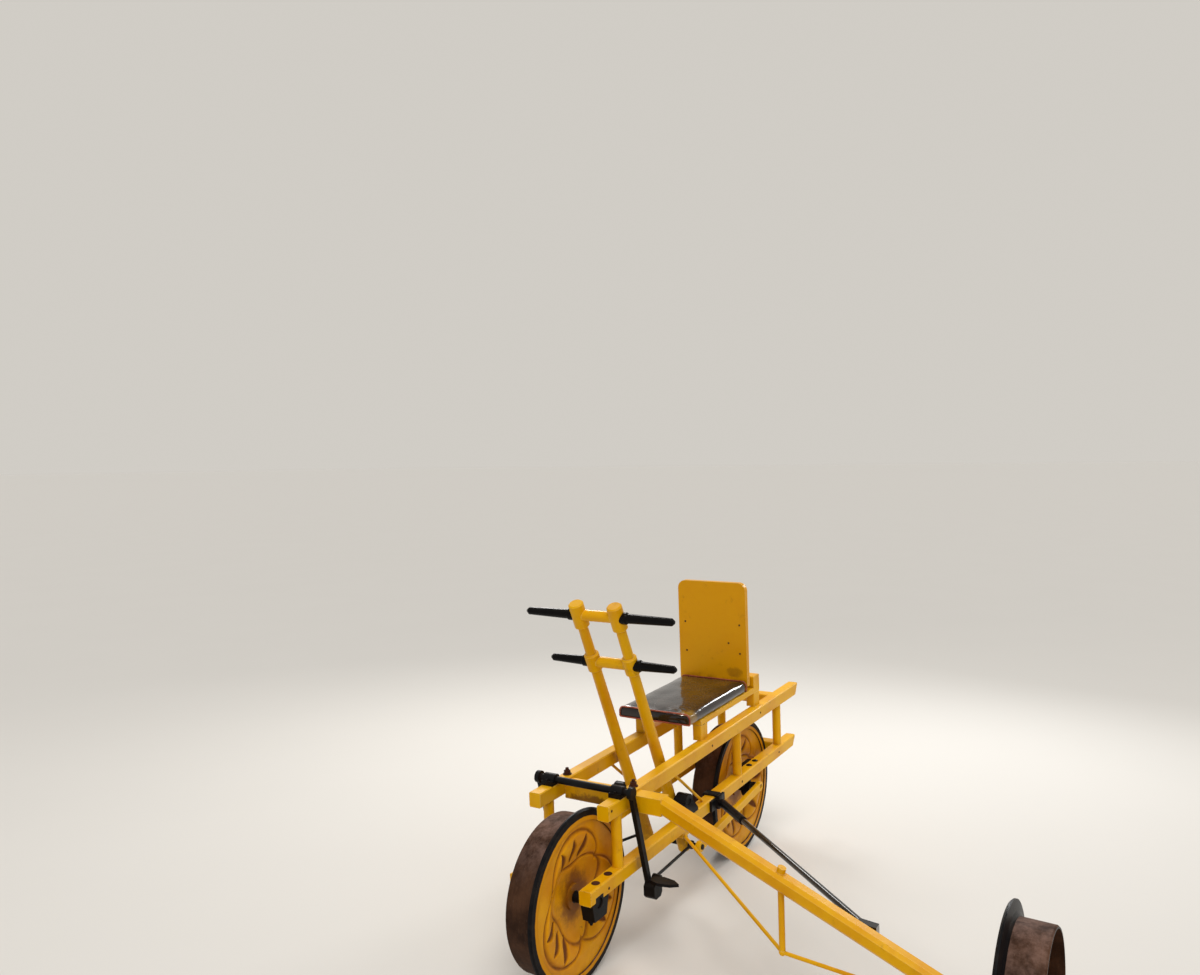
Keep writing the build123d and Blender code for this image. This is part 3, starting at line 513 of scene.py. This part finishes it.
webTree, given, result = newGroup(
    "pressedWeb", "GeometryNodeTree",
    [("Geometry", "Geometry", None), ("Centre", "Vector", None), ("Outer Radius", "Float", 0.198),
     ("Scale", "Float", 1.0), ("Outward", "Float", 1.0), ("Material", "Material", None)]
    + [(label, "Float", value) for label, value in pressedWeb.items()],
    [("Geometry", "Geometry")],
)
timesWeb, plusWeb, minusWeb, calcWeb, rampWeb, addWeb = (
    partial(action, webTree) for action in (times, plus, minus, calc, ramp, addNode)
)
grid = addWeb("GeometryNodeMeshGrid", webGrid).outputs["Mesh"]
spot = partOf(webTree, addWeb("GeometryNodeInputPosition").outputs[0])
theta = timesWeb(spot["X"], 2.0 * math.pi)
share = plusWeb(spot["Y"], 0.5)
span = minusWeb(given["Outer Radius"], given["Inner Radius"])
radius = plusWeb(given["Inner Radius"], timesWeb(share, span))
drawnRadius = calcWeb("DIVIDE", radius, given["Scale"])
dishStart, dishEnd = (timesWeb(given["Outer Radius"], given[land]) for land in ("Rim Land", "Hub Land"))
dish = timesWeb(rampWeb(radius, dishStart, dishEnd), given["Dish"])


def grooveAt(line):
    distance = calcWeb("ABSOLUTE", minusWeb(drawnRadius, line))
    return rampWeb(distance, 0.0, given["Groove Width"], 1.0, 0.0)


turned = minusWeb(theta, given["Lobe Turn"])
halfTurn = calcWeb("COSINE", timesWeb(turned, timesWeb(given["Lobes"], 0.5)))
lobe = calcWeb("POWER", calcWeb("ABSOLUTE", halfTurn), given["Lobe Power"])
lobeLine = plusWeb(given["Lobe Root"], timesWeb(lobe, given["Lobe Reach"]))
waveTurned = timesWeb(minusWeb(theta, given["Wave Turn"]), given["Lobes"])
wave = timesWeb(calcWeb("COSINE", waveTurned), given["Wave Height"])
waveLine = plusWeb(given["Wave Radius"], wave)
# The angle from the nearest lobe's middle, then from the nearest slot beside it
step = calcWeb("DIVIDE", 2.0 * math.pi, given["Lobes"])
fromLobe = calcWeb("PINGPONG", turned, timesWeb(step, 0.5))
fromSide = calcWeb("ABSOLUTE", minusWeb(fromLobe, given["Slot Angle"]))
slotDistance = timesWeb(calcWeb("MINIMUM", fromLobe, fromSide), drawnRadius)
# Each slot is a leaf: widest halfway out and closed at both ends
slotShare = rampWeb(drawnRadius, given["Slot Start"], given["Slot End"], curve="LINEAR")
bulge = timesWeb(timesWeb(slotShare, minusWeb(1.0, slotShare)), 4.0)
leafWidth = plusWeb(timesWeb(bulge, given["Slot Width"]), leafTip)
leaf = rampWeb(calcWeb("DIVIDE", slotDistance, leafWidth), *leafEdge)
slot = timesWeb(leaf, rampWeb(bulge, 0.0, given["Slot Close"]))
grooves = calcWeb("MAXIMUM", grooveAt(lobeLine), grooveAt(waveLine))
# pressed marks the grooves and slots, which the web's paint darkens as painted shade
pressed = calcWeb("MAXIMUM", timesWeb(grooves, given["Groove Tone"]), slot)
sunk = calcWeb("MAXIMUM", timesWeb(grooves, given["Groove Depth"]), timesWeb(slot, given["Slot Depth"]))
inLobe = rampWeb(minusWeb(lobeLine, drawnRadius), 0.0, given["Rise Width"])
inward = minusWeb(plusWeb(dish, sunk), timesWeb(inLobe, given["Lobe Rise"]))
around = addWeb("ShaderNodeCombineXYZ", {
    "X": timesWeb(radius, calcWeb("COSINE", theta)),
    "Y": timesWeb(timesWeb(inward, given["Outward"]), -1.0),
    "Z": timesWeb(radius, calcWeb("SINE", theta)),
}).outputs[0]
target = addWeb("ShaderNodeVectorMath", {0: around, 1: given["Centre"]}, operation="ADD").outputs[0]
made = addWeb(
    "GeometryNodeStoreNamedAttribute", {"Geometry": grid, "Name": "pressed", "Value": pressed},
    data_type="FLOAT", domain="POINT",
).outputs[0]
for kind, wires in (
    ("GeometryNodeSetPosition", {"Position": target}), ("GeometryNodeMergeByDistance", {"Distance": 1e-6}),
    ("GeometryNodeSetShadeSmooth", {}), ("GeometryNodeRealizeInstances", {}),
    ("GeometryNodeSetMaterial", {"Material": given["Material"]}),
):
    made = addWeb(kind, {"Geometry": made, **wires}).outputs[0]
webTree.links.new(made, result["Geometry"])


def runTree(name, tree, mesh, values):
    piece = linkMesh(name, mesh)
    modifier = piece.modifiers.new("make", "NODES")
    modifier.node_group = tree
    for item in tree.interface.items_tree:
        if item.in_out == "INPUT" and item.name in values:
            modifier[item.identifier] = values[item.name]
    bakeModifiers(piece)
    return piece


for wheel, sizes in tyres.items():
    low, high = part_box(wheel + "_wheel_web")
    centre = wheelCentre[wheel].copy()
    centre.y = high.y if sizes["side"] > 0 else low.y
    web = runTree(wheel + "WheelWeb", webTree, bpy.data.meshes.new(wheel + "WheelWeb"), {
        "Centre": tuple(centre), "Outer Radius": (high.x - low.x) / 2,
        "Scale": sizes["tread"] / tyres["front"]["tread"], "Outward": sizes["side"],
        "Material": webPaint(wheel + "WebPaint", centre),
    })
    turnOutwards(web.data, sizes["side"])
    plate = web.modifiers.new("plate", "SOLIDIFY")
    plate.thickness = plateThickness
    plate.offset = -1.0
    bakeModifiers(web)
    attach(web, sizes["body"])
    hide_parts(wheel + "_wheel_web")
print("webs pressed:", len(tyres))


# Cushion: a boxed pad of black seat cloth on the seat board, swollen by a cloth simulation
cushion = {
    "shoulder": 0.016, "foot": 0.004, "sink": 0.003, "crown": 0.011, "voxel": 0.006,
    "pressure": 4.0, "stiffness": 12.0, "bending": 0.6, "quality": 6, "steps": 20, "cap": 0.011,
    "seamBand": 0.007, "heldFoot": 0.004, "spread": 0.004, "topBand": 0.006,
    "quickBand": 0.004, "quickCrown": 0.009, "quickReach": 0.218,
}
creases = {
    # kind: scale along each axis, shift of the pattern, height
    "folds": ((14, 22, 16), 0, 0.0016), "wrinkles": ((60, 80, 60), 5, 0.00018), "crumple": ((120, 120, 120), 9, 0.004),
}
crumpledCorner = {"inset": 0.03, "reach": 0.05, "sink": 0.003}


def railBox(node):
    corners = [railFrame.inverted() @ vertex.co for vertex in cadNodes[node].data.vertices]
    low = Vector([min(corner[i] for corner in corners) for i in range(3)])
    high = Vector([max(corner[i] for corner in corners) for i in range(3)])
    return low, high


def sectionLoop(low, high, x, steps=7):
    # The pad's outline seen from the front: wide corners on top, tight ones on the board
    loop = []
    middleY, middleZ = (low.y + high.y) / 2, (low.z + high.z) / 2
    for cornerY, cornerZ, start, radius in (
        (high.y, high.z, 0, cushion["shoulder"]), (low.y, high.z, 90, cushion["shoulder"]),
        (low.y, low.z, 180, cushion["foot"]), (high.y, low.z, 270, cushion["foot"]),
    ):
        insetY = math.copysign(radius, cornerY - middleY)
        insetZ = math.copysign(radius, cornerZ - middleZ)
        middle = Vector((x, cornerY - insetY, cornerZ - insetZ))
        for i in range(steps + 1):
            turn = math.radians(start + 90 * i / steps)
            loop.append(middle + radius * Vector((0, math.cos(turn), math.sin(turn))))
    return loop


def closedTube(name, loop, radius, sides=10):
    builder = bmesh.new()
    rings = []
    for i, point in enumerate(loop):
        along = (loop[(i + 1) % len(loop)] - loop[i - 1]).normalized()
        outward = along.cross(Vector((1, 0, 0))).normalized()
        over = outward.cross(along)
        rings.append([
            builder.verts.new(point + radius * (math.cos(turn) * outward + math.sin(turn) * over))
            for turn in (2 * math.pi * k / sides for k in range(sides))
        ])
    for i, ring in enumerate(rings):
        following = rings[(i + 1) % len(rings)]
        for k in range(sides):
            builder.faces.new((ring[k], ring[(k + 1) % sides], following[(k + 1) % sides], following[k]))
    return meshFromBuilder(name, builder)


def resampled(loop, spacing):
    points = []
    for i, start in enumerate(loop):
        end = loop[(i + 1) % len(loop)]
        steps = max(1, round((end - start).length / spacing))
        points += [start.lerp(end, k / steps) for k in range(steps)]
    return points


low, high = railBox("seat_cushion")
padLow = Vector((low.x + cushion["sink"], low.y + cushion["sink"], low.z))
padHigh = Vector((high.x - cushion["sink"], high.y - cushion["sink"], high.z - cushion["crown"]))
builder = bmesh.new()
previous = None
for x in (padLow.x, (padLow.x + padHigh.x) / 2, padHigh.x):
    ring = [builder.verts.new(point) for point in sectionLoop(padLow, padHigh, x)]
    if previous:
        for k in range(len(ring)):
            builder.faces.new((previous[k], previous[(k + 1) % len(ring)], ring[(k + 1) % len(ring)], ring[k]))
    else:
        builder.faces.new(ring[::-1])
    previous = ring
builder.faces.new(previous)
cushionPiece = linkMesh("seatCushion", meshFromBuilder("seatCushion", builder))
remesh = cushionPiece.modifiers.new("voxels", "REMESH")
remesh.mode = "VOXEL"
remesh.voxel_size = cushion["voxel"]
bakeModifiers(cushionPiece)
start = [vertex.co.copy() for vertex in cushionPiece.data.vertices]
held = cushionPiece.vertex_groups.new(name="held")
for vertex in cushionPiece.data.vertices:
    place = vertex.co
    fromEnd = min(place.x - padLow.x, padHigh.x - place.x)
    fromRim = min(place.y - padLow.y, padHigh.y - place.y, padHigh.z - place.z, place.z - padLow.z)
    if place.z < padLow.z + cushion["heldFoot"] or max(fromEnd, fromRim) < cushion["seamBand"]:
        held.add([vertex.index], 1.0, "REPLACE")
cloth = cushionPiece.modifiers.new("swell", "CLOTH").settings
cloth.use_pressure = True
cloth.uniform_pressure_force = cushion["pressure"]
cloth.effector_weights.gravity = 0.0
cloth.vertex_group_mass = "held"
cloth.quality = cushion["quality"]
cloth.tension_stiffness = cloth.compression_stiffness = cushion["stiffness"]
cloth.bending_stiffness = cushion["bending"]
for frameNumber in range(1, cushion["steps"] + 1):
    bpy.context.scene.frame_set(frameNumber)
graph = bpy.context.evaluated_depsgraph_get()
swollen = bpy.data.meshes.new_from_object(cushionPiece.evaluated_get(graph))
moved = [vertex.co.copy() for vertex in swollen.vertices]
bpy.data.meshes.remove(swollen)
bpy.context.scene.frame_set(1)
cushionPiece.modifiers.clear()


def creaseAt(place, kind):
    scale, shift, height = creases[kind]
    return height * noise.noise(Vector((place.x * scale[0], place.y * scale[1], place.z * scale[2] + shift)))


cornerAt = Vector((high.x - crumpledCorner["inset"], high.y - crumpledCorner["inset"], high.z))
for vertex, before, after in zip(cushionPiece.data.vertices, start, moved):
    shift = after - before
    if shift.length > cushion["cap"]:
        shift *= cushion["cap"] / shift.length
    place = before + shift
    crumpled = math.exp(-((place - cornerAt).length / crumpledCorner["reach"]) ** 2)
    crease = creaseAt(place, "folds") + creaseAt(place, "wrinkles")
    crease += crumpled * (creaseAt(place, "crumple") - crumpledCorner["sink"])
    if place.z > padHigh.z - cushion["topBand"]:
        place.z += crease
    vertex.co = Vector((
        min(max(place.x, low.x - cushion["spread"]), high.x + cushion["spread"]),
        min(max(place.y, low.y - cushion["spread"]), high.y + cushion["spread"]),
        max(place.z, low.z),
    ))
finer = cushionPiece.modifiers.new("finer", "SUBSURF")
finer.levels = finer.render_levels = 1
bakeModifiers(cushionPiece)
cushionPiece.data.transform(railFrame)

clothLook = {
    "black": ((0.007, 0.005, 0.005), (0.022, 0.013, 0.010)), "dustAndPaintedLight": (0.075, 0.052, 0.040), "dusty": 0.55,
    "coat": 0.75, "coatRoughness": 0.08, "specular": 0.10, "matt": 0.14,
    "patchTone": (0.25, 0.135, 0.016), "patchReach": (0.056, 0.022), "patchAmount": 0.85,
    "patchInset": Vector((0.016, 0.006, 0.022)), "frontEdge": (0.012, 0.007),
    "crack": (0.11, 0.065, 0.035), "poreScale": 520.0, "crackScale": 75.0, "bump": (0.3, 0.0008),
}


def seatCloth(name, patchCentre):
    # Oilcloth: glossy black, crazed in places, and yellow-brown in a ragged patch at the front left corner
    material, tree, shader, place = newMaterial(name, clothLook)
    local = measuredFrom(tree, place, patchCentre)
    dustAndPaintedLight = dustAndLightAt(tree, place, 16.0, 0.30)
    pores = addNode(tree, "ShaderNodeTexVoronoi", {"Vector": place, "Scale": clothLook["poreScale"]})
    cracks = addNode(
        tree, "ShaderNodeTexVoronoi", {"Vector": place, "Scale": clothLook["crackScale"]}, feature="DISTANCE_TO_EDGE",
    )
    crazed = ramp(tree, noiseAt(tree, place, 12.0), 0.5, 0.7)
    cracked = times(tree, ramp(tree, cracks.outputs["Distance"], 0.05, 0.0), crazed)
    colour = blend(tree, ramp(tree, noiseAt(tree, place, 13.0, 5.0), 0.3, 0.7), *clothLook["black"])
    colour = blend(tree, times(tree, dustAndPaintedLight, clothLook["dusty"]), colour, clothLook["dustAndPaintedLight"])
    ragged = swayed(tree, lengthOf(tree, local), 0.05, noiseAt(tree, local, 60.0, 6.0, 0.7), 0.5)
    ahead = partOf(tree, local)["X"]  # the front face stays black
    # a ragged yellow-brown patch round the front left corner
    corner = ramp(tree, ragged, *clothLook["patchReach"], 0.0, clothLook["patchAmount"])
    corner = times(tree, corner, ramp(tree, ahead, *clothLook["frontEdge"]))
    colour = blend(tree, corner, colour, clothLook["patchTone"])
    colour = blend(tree, times(tree, cracked, 0.5), colour, clothLook["crack"])
    matt = swayed(tree, clothLook["matt"], 0.35, dustAndPaintedLight)
    matt = swayed(tree, matt, 0.15, noiseAt(tree, place, 50.0))
    height = minus(tree, times(tree, pores.outputs["Distance"], 0.3), times(tree, cracked, 0.6))
    height = swayed(tree, height, 0.5, noiseAt(tree, place, 45.0, 3.0))
    dress(tree, shader, clothLook, colour, matt, height)
    return material


cordLook = {
    "red": ((0.21, 0.028, 0.010), (0.38, 0.080, 0.028)), "grimeAndShade": (0.030, 0.014, 0.010),
    "patchTone": (0.045, 0.018, 0.013), "coat": 0.2, "radius": 0.0024, "standsOut": 0.0006, "spacing": 0.008,
    "overFoot": 0.0026, "overTop": 0.0010, "waveScale": 22, "wave": 0.0010, "bump": (0.4, 0.0006),
}


def pipingCloth(name):
    material, tree, shader, place = newMaterial(name, cordLook)
    tone = ramp(tree, noiseAt(tree, place, 60.0, 5.0), 0.3, 0.7)
    colour = blend(tree, tone, *cordLook["red"])
    # Painted shade where the cord meets the pad and in its hollows, mixed with grime
    colour = blend(tree, times(tree, shadeAndGrimeAt(tree, place, 0.008, 60.0), 0.8), colour, cordLook["grimeAndShade"])
    patchTone = ramp(tree, noiseAt(tree, place, 24.0, 6.0, 0.7), 0.55, 0.7, 0.0, 0.6)
    colour = blend(tree, patchTone, colour, cordLook["patchTone"])
    matt = swayed(tree, 0.35, 0.2, tone)
    dress(tree, shader, cordLook, colour, matt, noiseAt(tree, place, 340.0, 4.0))
    return material


vinyl = seatCloth("seatCloth", railFrame @ (high - clothLook["patchInset"]))
cushionPiece.data.materials.clear()
cushionPiece.data.materials.append(vinyl)
cushionPiece.data.shade_smooth()
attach(cushionPiece, "frame")
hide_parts("seat_cushion")
redCord = pipingCloth("redPiping")
for label, x in (("Front", padHigh.x + cordLook["standsOut"]), ("Rear", padLow.x - cordLook["standsOut"])):
    footIn = Vector((0, cordLook["overFoot"], cordLook["overFoot"]))
    topOut = Vector((0, cordLook["overTop"], cordLook["overTop"]))
    line = resampled(sectionLoop(padLow + footIn, padHigh + topOut, x), cordLook["spacing"])
    for point in line:
        point.z += noise.noise(point * cordLook["waveScale"]) * cordLook["wave"]
    cord = linkMesh("cushionPiping" + label, closedTube("piping", line, cordLook["radius"]), redCord)
    shadeSmooth(cord.data, 60)
    cord.data.transform(railFrame)
    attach(cord, "frame")
print("cushion sewn:", len(cushionPiece.data.polygons), "faces")


# Nuts, bolt heads and nails: one tree puts a head, washer and stud on every point it is given
headLabels = (
    "Sides", "Head Radius", "Head Height", "Washer Radius", "Washer Height", "Stud Radius", "Stud Height", "Dome",
)
heads = {
    # kind: sides, head radius and height, washer radius and height, stud radius and height, dome
    "tallNut": (6, 0.0095, 0.010, 0.013, 0.002, 0.005, 0.019, 0.0),
    "knob": (24, 0.011, 0.014, 0.0125, 0.002, 0.004, 0.0165, 0.0),
    "cupHead": (20, 0.0085, 0.0006, 0.0105, 0.0010, 0.003, 0.002, 0.42),
    "railScrew": (20, 0.0105, 0.0006, 0.0115, 0.0010, 0.003, 0.002, 0.22),
    "nail": (12, 0.0030, 0.0004, 0.0034, 0.0004, 0.001, 0.0008, 0.30),
    "screwHead": (12, 0.0036, 0.0004, 0.0038, 0.0004, 0.001, 0.0008, 0.30),
    "castingBolt": (6, 0.0075, 0.006, 0.0100, 0.002, 0.004, 0.010, 0.0),
    "treadleBolt": (6, 0.0035, 0.003, 0.0038, 0.002, 0.002, 0.0045, 0.0),
    "boxBolt": (6, 0.0075, 0.006, 0.0100, 0.002, 0.004, 0.014, 0.0),
    "rodBoss": (28, 0.0170, 0.0190, 0.0150, 0.0015, 0.004, 0.005, 0.0),
    "rodPin": (6, 0.0065, 0.004, 0.0100, 0.002, 0.004, 0.010, 0.0),
}
headTree, given, result = newGroup(
    "fasteners", "GeometryNodeTree",
    [("Geometry", "Geometry", None), ("Seed", "Int", 3), ("Material", "Material", None)]
    + [(label, "Int" if label == "Sides" else "Float", usual) for label, usual in zip(headLabels, heads["boxBolt"])],
    [("Geometry", "Geometry")],
)
addHead = partial(addNode, headTree)


def standing(height, radius, sides, lift=0.0):
    body = addHead("GeometryNodeMeshCylinder", {"Vertices": sides, "Radius": radius, "Depth": height})
    middle = plus(headTree, times(headTree, height, 0.5), lift)
    rise = addHead("ShaderNodeCombineXYZ", {"Z": middle}).outputs[0]
    wires = {"Geometry": body.outputs["Mesh"], "Translation": rise}
    return addHead("GeometryNodeTransform", wires).outputs[0]


ball = addHead("GeometryNodeMeshUVSphere", {"Segments": 16, "Rings": 8, "Radius": given["Head Radius"]})
squash = addHead("ShaderNodeCombineXYZ", {"X": 0.93, "Y": 0.93, "Z": given["Dome"]}).outputs[0]
lift = addHead("ShaderNodeCombineXYZ", {"Z": given["Washer Height"]}).outputs[0]
dome = addHead(
    "GeometryNodeTransform", {"Geometry": ball.outputs["Mesh"], "Scale": squash, "Translation": lift},
).outputs[0]
assembled = addHead("GeometryNodeJoinGeometry")
for solid in (
    standing(given["Head Height"], given["Head Radius"], given["Sides"], given["Washer Height"]),
    standing(given["Washer Height"], given["Washer Radius"], 20),
    standing(given["Stud Height"], given["Stud Radius"], 12),
    dome,
):
    headTree.links.new(solid, assembled.inputs[0])
direction = addHead("GeometryNodeInputNamedAttribute", {"Name": "direction"}, data_type="FLOAT_VECTOR").outputs[0]
aim = addHead("FunctionNodeAlignRotationToVector", {"Vector": direction}, axis="Z").outputs[0]
turn = addHead(
    "FunctionNodeRandomValue", {"Min": -3.0, "Max": 3.0, "Seed": given["Seed"]}, data_type="FLOAT",
).outputs[1]
spun = addHead("FunctionNodeAxisAngleToRotation", {"Axis": (0, 0, 1), "Angle": turn}).outputs[0]
both = addHead("FunctionNodeRotateRotation", {"Rotation": aim, "Rotate By": spun}, rotation_space="LOCAL").outputs[0]
placed = addHead(
    "GeometryNodeInstanceOnPoints",
    {"Points": given["Geometry"], "Instance": assembled.outputs[0], "Rotation": both},
).outputs[0]
real = addHead("GeometryNodeRealizeInstances", {"Geometry": placed}).outputs[0]
coloured = addHead("GeometryNodeSetMaterial", {"Geometry": real, "Material": given["Material"]})
headTree.links.new(coloured.outputs[0], result["Geometry"])

sharpIron = 35  # degrees past which an iron edge shades sharp


def fasten(name, body, material, places, sizes):
    mesh = bpy.data.meshes.new(name)
    mesh.from_pydata([Vector(place) for place, _ in places], [], [])
    attribute = mesh.attributes.new("direction", "FLOAT_VECTOR", "POINT")
    for i, (_, aim) in enumerate(places):
        attribute.data[i].vector = Vector(aim)
    piece = runTree(name, headTree, mesh, {**sizes, "Material": material})
    piece.data.transform(railFrame)
    turnOutwards(piece.data)
    shadeSmooth(piece.data, sharpIron)
    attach(piece, body)


rails = {"middle": 0.1095, "outerFace": 0.128, "upperTop": 0.227, "lowerTop": 0.039}
up, down, left, right, ahead = (0, 0, 1), (0, 0, -1), (0, 1, 0), (0, -1, 0), (1, 0, 0)
backrestFront = -1.021
nailSpots = (
    (-0.123, 0.521), (0.083, 0.521), (-0.120, 0.418), (0.083, 0.422), (-0.117, 0.326), (0.079, 0.326), (0.041, 0.456),
)
sideScrewSpots = (
    (-0.047, 0.015), (-0.910, 0.018), (-1.240, 0.019), (-0.074, 0.212), (-0.690, 0.205), (-1.080, 0.207),
)
leverAt, leverBoltStep = -0.520, 0.053
treadleAt, treadleBoltStep = -0.142, 0.0190


def onRails(places, height, aim=up):
    return [((x, side * rails["middle"], height), aim) for x in places for side in (1, -1)]


fasteners = {
    # name: material, head, places and the way they point
    "beamRootNuts": (screwIron, "tallNut", onRails((-0.223,), rails["upperTop"])),
    "trussPostKnob": (ironYellow, "knob", [((-0.1566, 0.562, 0.1025), (0.0, 0.317, 0.948))]),
    "railCupHeads": (ironBlack, "cupHead", onRails((-1.062, -1.012), rails["lowerTop"])),
    "railScrews": (screwIron, "railScrew", onRails((-0.012, -0.074), rails["lowerTop"])),
    "backrestNails": (screwIron, "nail", [((backrestFront, y, z), ahead) for y, z in nailSpots]),
    "railSideScrews": (screwIron, "screwHead", [
        ((x, side * rails["outerFace"], z), aim) for x, z in sideScrewSpots for side, aim in ((1, left), (-1, right))
    ]),
    "leverBearingBolts": (
        forgedBlack, "castingBolt", onRails((leverAt - leverBoltStep, leverAt + leverBoltStep), 0.0485),
    ),
    "treadleBearingBolts": (
        forgedBlack, "treadleBolt", onRails((treadleAt - treadleBoltStep, treadleAt + treadleBoltStep), 0.2400),
    ),
    "axleBoxNuts": (forgedBlack, "boxBolt", onRails((-0.020, 0.016), -0.046, down)),
    "rodBoss": (ironYellow, "rodBoss", [((-0.690, 0.1095, -0.0786), left)]),
    "rodPins": (forgedBlack, "rodPin", [((-0.690, 0.1296, -0.0786), left)]),
}
for name, (material, head, places) in fasteners.items():
    body = "connecting_rod" if name.startswith("rod") else "frame"
    fasten(name, body, material, places, dict(zip(headLabels, heads[head])))

# The strap under the stay's clamp: eased plates given by middle and size
stayStrap = {
    "ease": 0.0012,
    "top": ((-0.712, 0.1095, 0.0415), (0.034, 0.047, 0.005)),
    "inner": ((-0.712, 0.0885, 0.0215), (0.034, 0.005, 0.040)),
    "outer": ((-0.712, 0.1385, 0.0215), (0.034, 0.010, 0.042)),
}
builder = bmesh.new()
for part in ("top", "inner", "outer"):
    middle, size = stayStrap[part]
    bmesh.ops.create_cube(builder, size=1.0, matrix=Matrix.Translation(middle) @ Matrix.Diagonal((*size, 1)))
strap = linkMesh("stayStrap", meshFromBuilder("stayStrap", builder), ironBlack)
easing = strap.modifiers.new("ease", "BEVEL")
easing.width = stayStrap["ease"]
easing.segments = 2
bakeModifiers(strap)
strap.data.transform(railFrame)
shadeSmooth(strap.data, sharpIron)
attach(strap, "frame")
print("fasteners placed:", len(fasteners), "kinds")


# Floor, light and camera
studio = {
    "floor": (0.70, 0.675, 0.635), "floorReach": 220.0, "floorTones": 0.85,
    "backdrop": (0.635, 0.608, 0.562), "ambient": 0.42,
    "sun": {"energy": 1.65, "angle": 42.0, "from": (1.2, 1.0, 3.2), "colour": (1.0, 0.975, 0.93)},
    "lamps": {
        # name: place, aim, width and height, watts, colour
        "overStay": ((-1.66, -2.15, 2.48), (0.22, 0.05, 0.26), (0.5, 1.3), 32.0, (1.0, 0.98, 0.95)),
        "cameraSide": ((3.0, 1.0, 2.2), (0.1, -0.2, 0.4), (1.0, 1.0), 12.0, (1.0, 0.97, 0.93)),
        "seatEdge": ((-2.8, 0.2, 1.9), (-0.2, -0.4, 0.6), (0.5, 0.5), 21.0, (0.97, 0.98, 1.0)),
    },
}


def floorMaterial(name, colour):
    material, tree, shader, place = newMaterial(name, {"roughness": 0.9})
    tone = ramp(tree, noiseAt(tree, place, 1.4, 6.0), 0.3, 0.7, 0.0, 0.05)
    darker = [studio["floorTones"] * part for part in colour]
    tree.links.new(blend(tree, tone, colour, darker), shader.inputs["Base Color"])
    return material


def hangLamp(name, lamp, aim, place=(0.0, 0.0, 0.0)):
    holder = bpy.data.objects.new(name, lamp)
    holder.location = place
    holder.rotation_euler = (Vector(aim) - Vector(place)).to_track_quat("-Z", "Y").to_euler()
    bpy.context.scene.collection.objects.link(holder)


builder = bmesh.new()
bmesh.ops.create_grid(builder, x_segments=8, y_segments=8, size=studio["floorReach"])
floor = linkMesh("floor", meshFromBuilder("floor", builder), floorMaterial("paleFloor", studio["floor"]))
if floor.data.polygons[0].normal.z < 0:
    floor.data.flip_normals()
world = bpy.data.worlds.new("studio")
bpy.context.scene.world = world
world.use_nodes = True
sky = world.node_tree
sky.nodes.clear()
path = addNode(sky, "ShaderNodeLightPath").outputs
seen = calc(sky, "MAXIMUM", path["Is Glossy Ray"], path["Is Transmission Ray"])
seen = calc(sky, "MAXIMUM", path["Is Camera Ray"], seen)
light = addNode(sky, "ShaderNodeBackground", {"Color": (1, 1, 1, 1), "Strength": studio["ambient"]}).outputs[0]
shown = addNode(sky, "ShaderNodeBackground", {"Color": (*studio["backdrop"], 1), "Strength": 1.0}).outputs[0]
mixed = addNode(sky, "ShaderNodeMixShader", {0: seen, 1: light, 2: shown}).outputs[0]
addNode(sky, "ShaderNodeOutputWorld", {"Surface": mixed})
for name, (place, aim, size, watts, colour) in studio["lamps"].items():
    lamp = bpy.data.lights.new(name, "AREA")
    lamp.shape = "RECTANGLE"
    lamp.size, lamp.size_y = size
    lamp.energy = watts
    lamp.color = colour
    hangLamp(name, lamp, aim, place)
sun = bpy.data.lights.new("softSun", "SUN")
sun.energy = studio["sun"]["energy"]
sun.angle = math.radians(studio["sun"]["angle"])
sun.color = studio["sun"]["colour"]
hangLamp("softSun", sun, -Vector(studio["sun"]["from"]))

viewpoint = {
    "lens": 30.33, "sensor": 36.0, "fromFrontAxle": (2.188, 1.4934, 1.1389),
    "heading": (-0.8511, -0.5250), "pitch": 1.49, "roll": 0.70,
}
heading = Vector((*viewpoint["heading"], 0)).normalized()
pitch, roll = math.radians(viewpoint["pitch"]), math.radians(viewpoint["roll"])
forward = heading * math.cos(pitch) - Vector((0, 0, 1)) * math.sin(pitch)
levelRight = forward.cross(Vector((0, 0, 1))).normalized()
levelUp = levelRight.cross(forward)
rightward = levelRight * math.cos(roll) - levelUp * math.sin(roll)
upward = levelRight * math.sin(roll) + levelUp * math.cos(roll)
lens = bpy.data.cameras.new("camera")
lens.lens = viewpoint["lens"]
lens.sensor_width = viewpoint["sensor"]
camera = bpy.data.objects.new("camera", lens)
eye = Matrix.Translation(wheelCentre["front"] + Vector(viewpoint["fromFrontAxle"]))
camera.matrix_world = eye @ Matrix((rightward, upward, -forward)).transposed().to_4x4()
bpy.context.scene.collection.objects.link(camera)
bpy.context.scene.camera = camera
bpy.context.scene.view_settings.view_transform = "Standard"
print("stage, lamps and camera set")
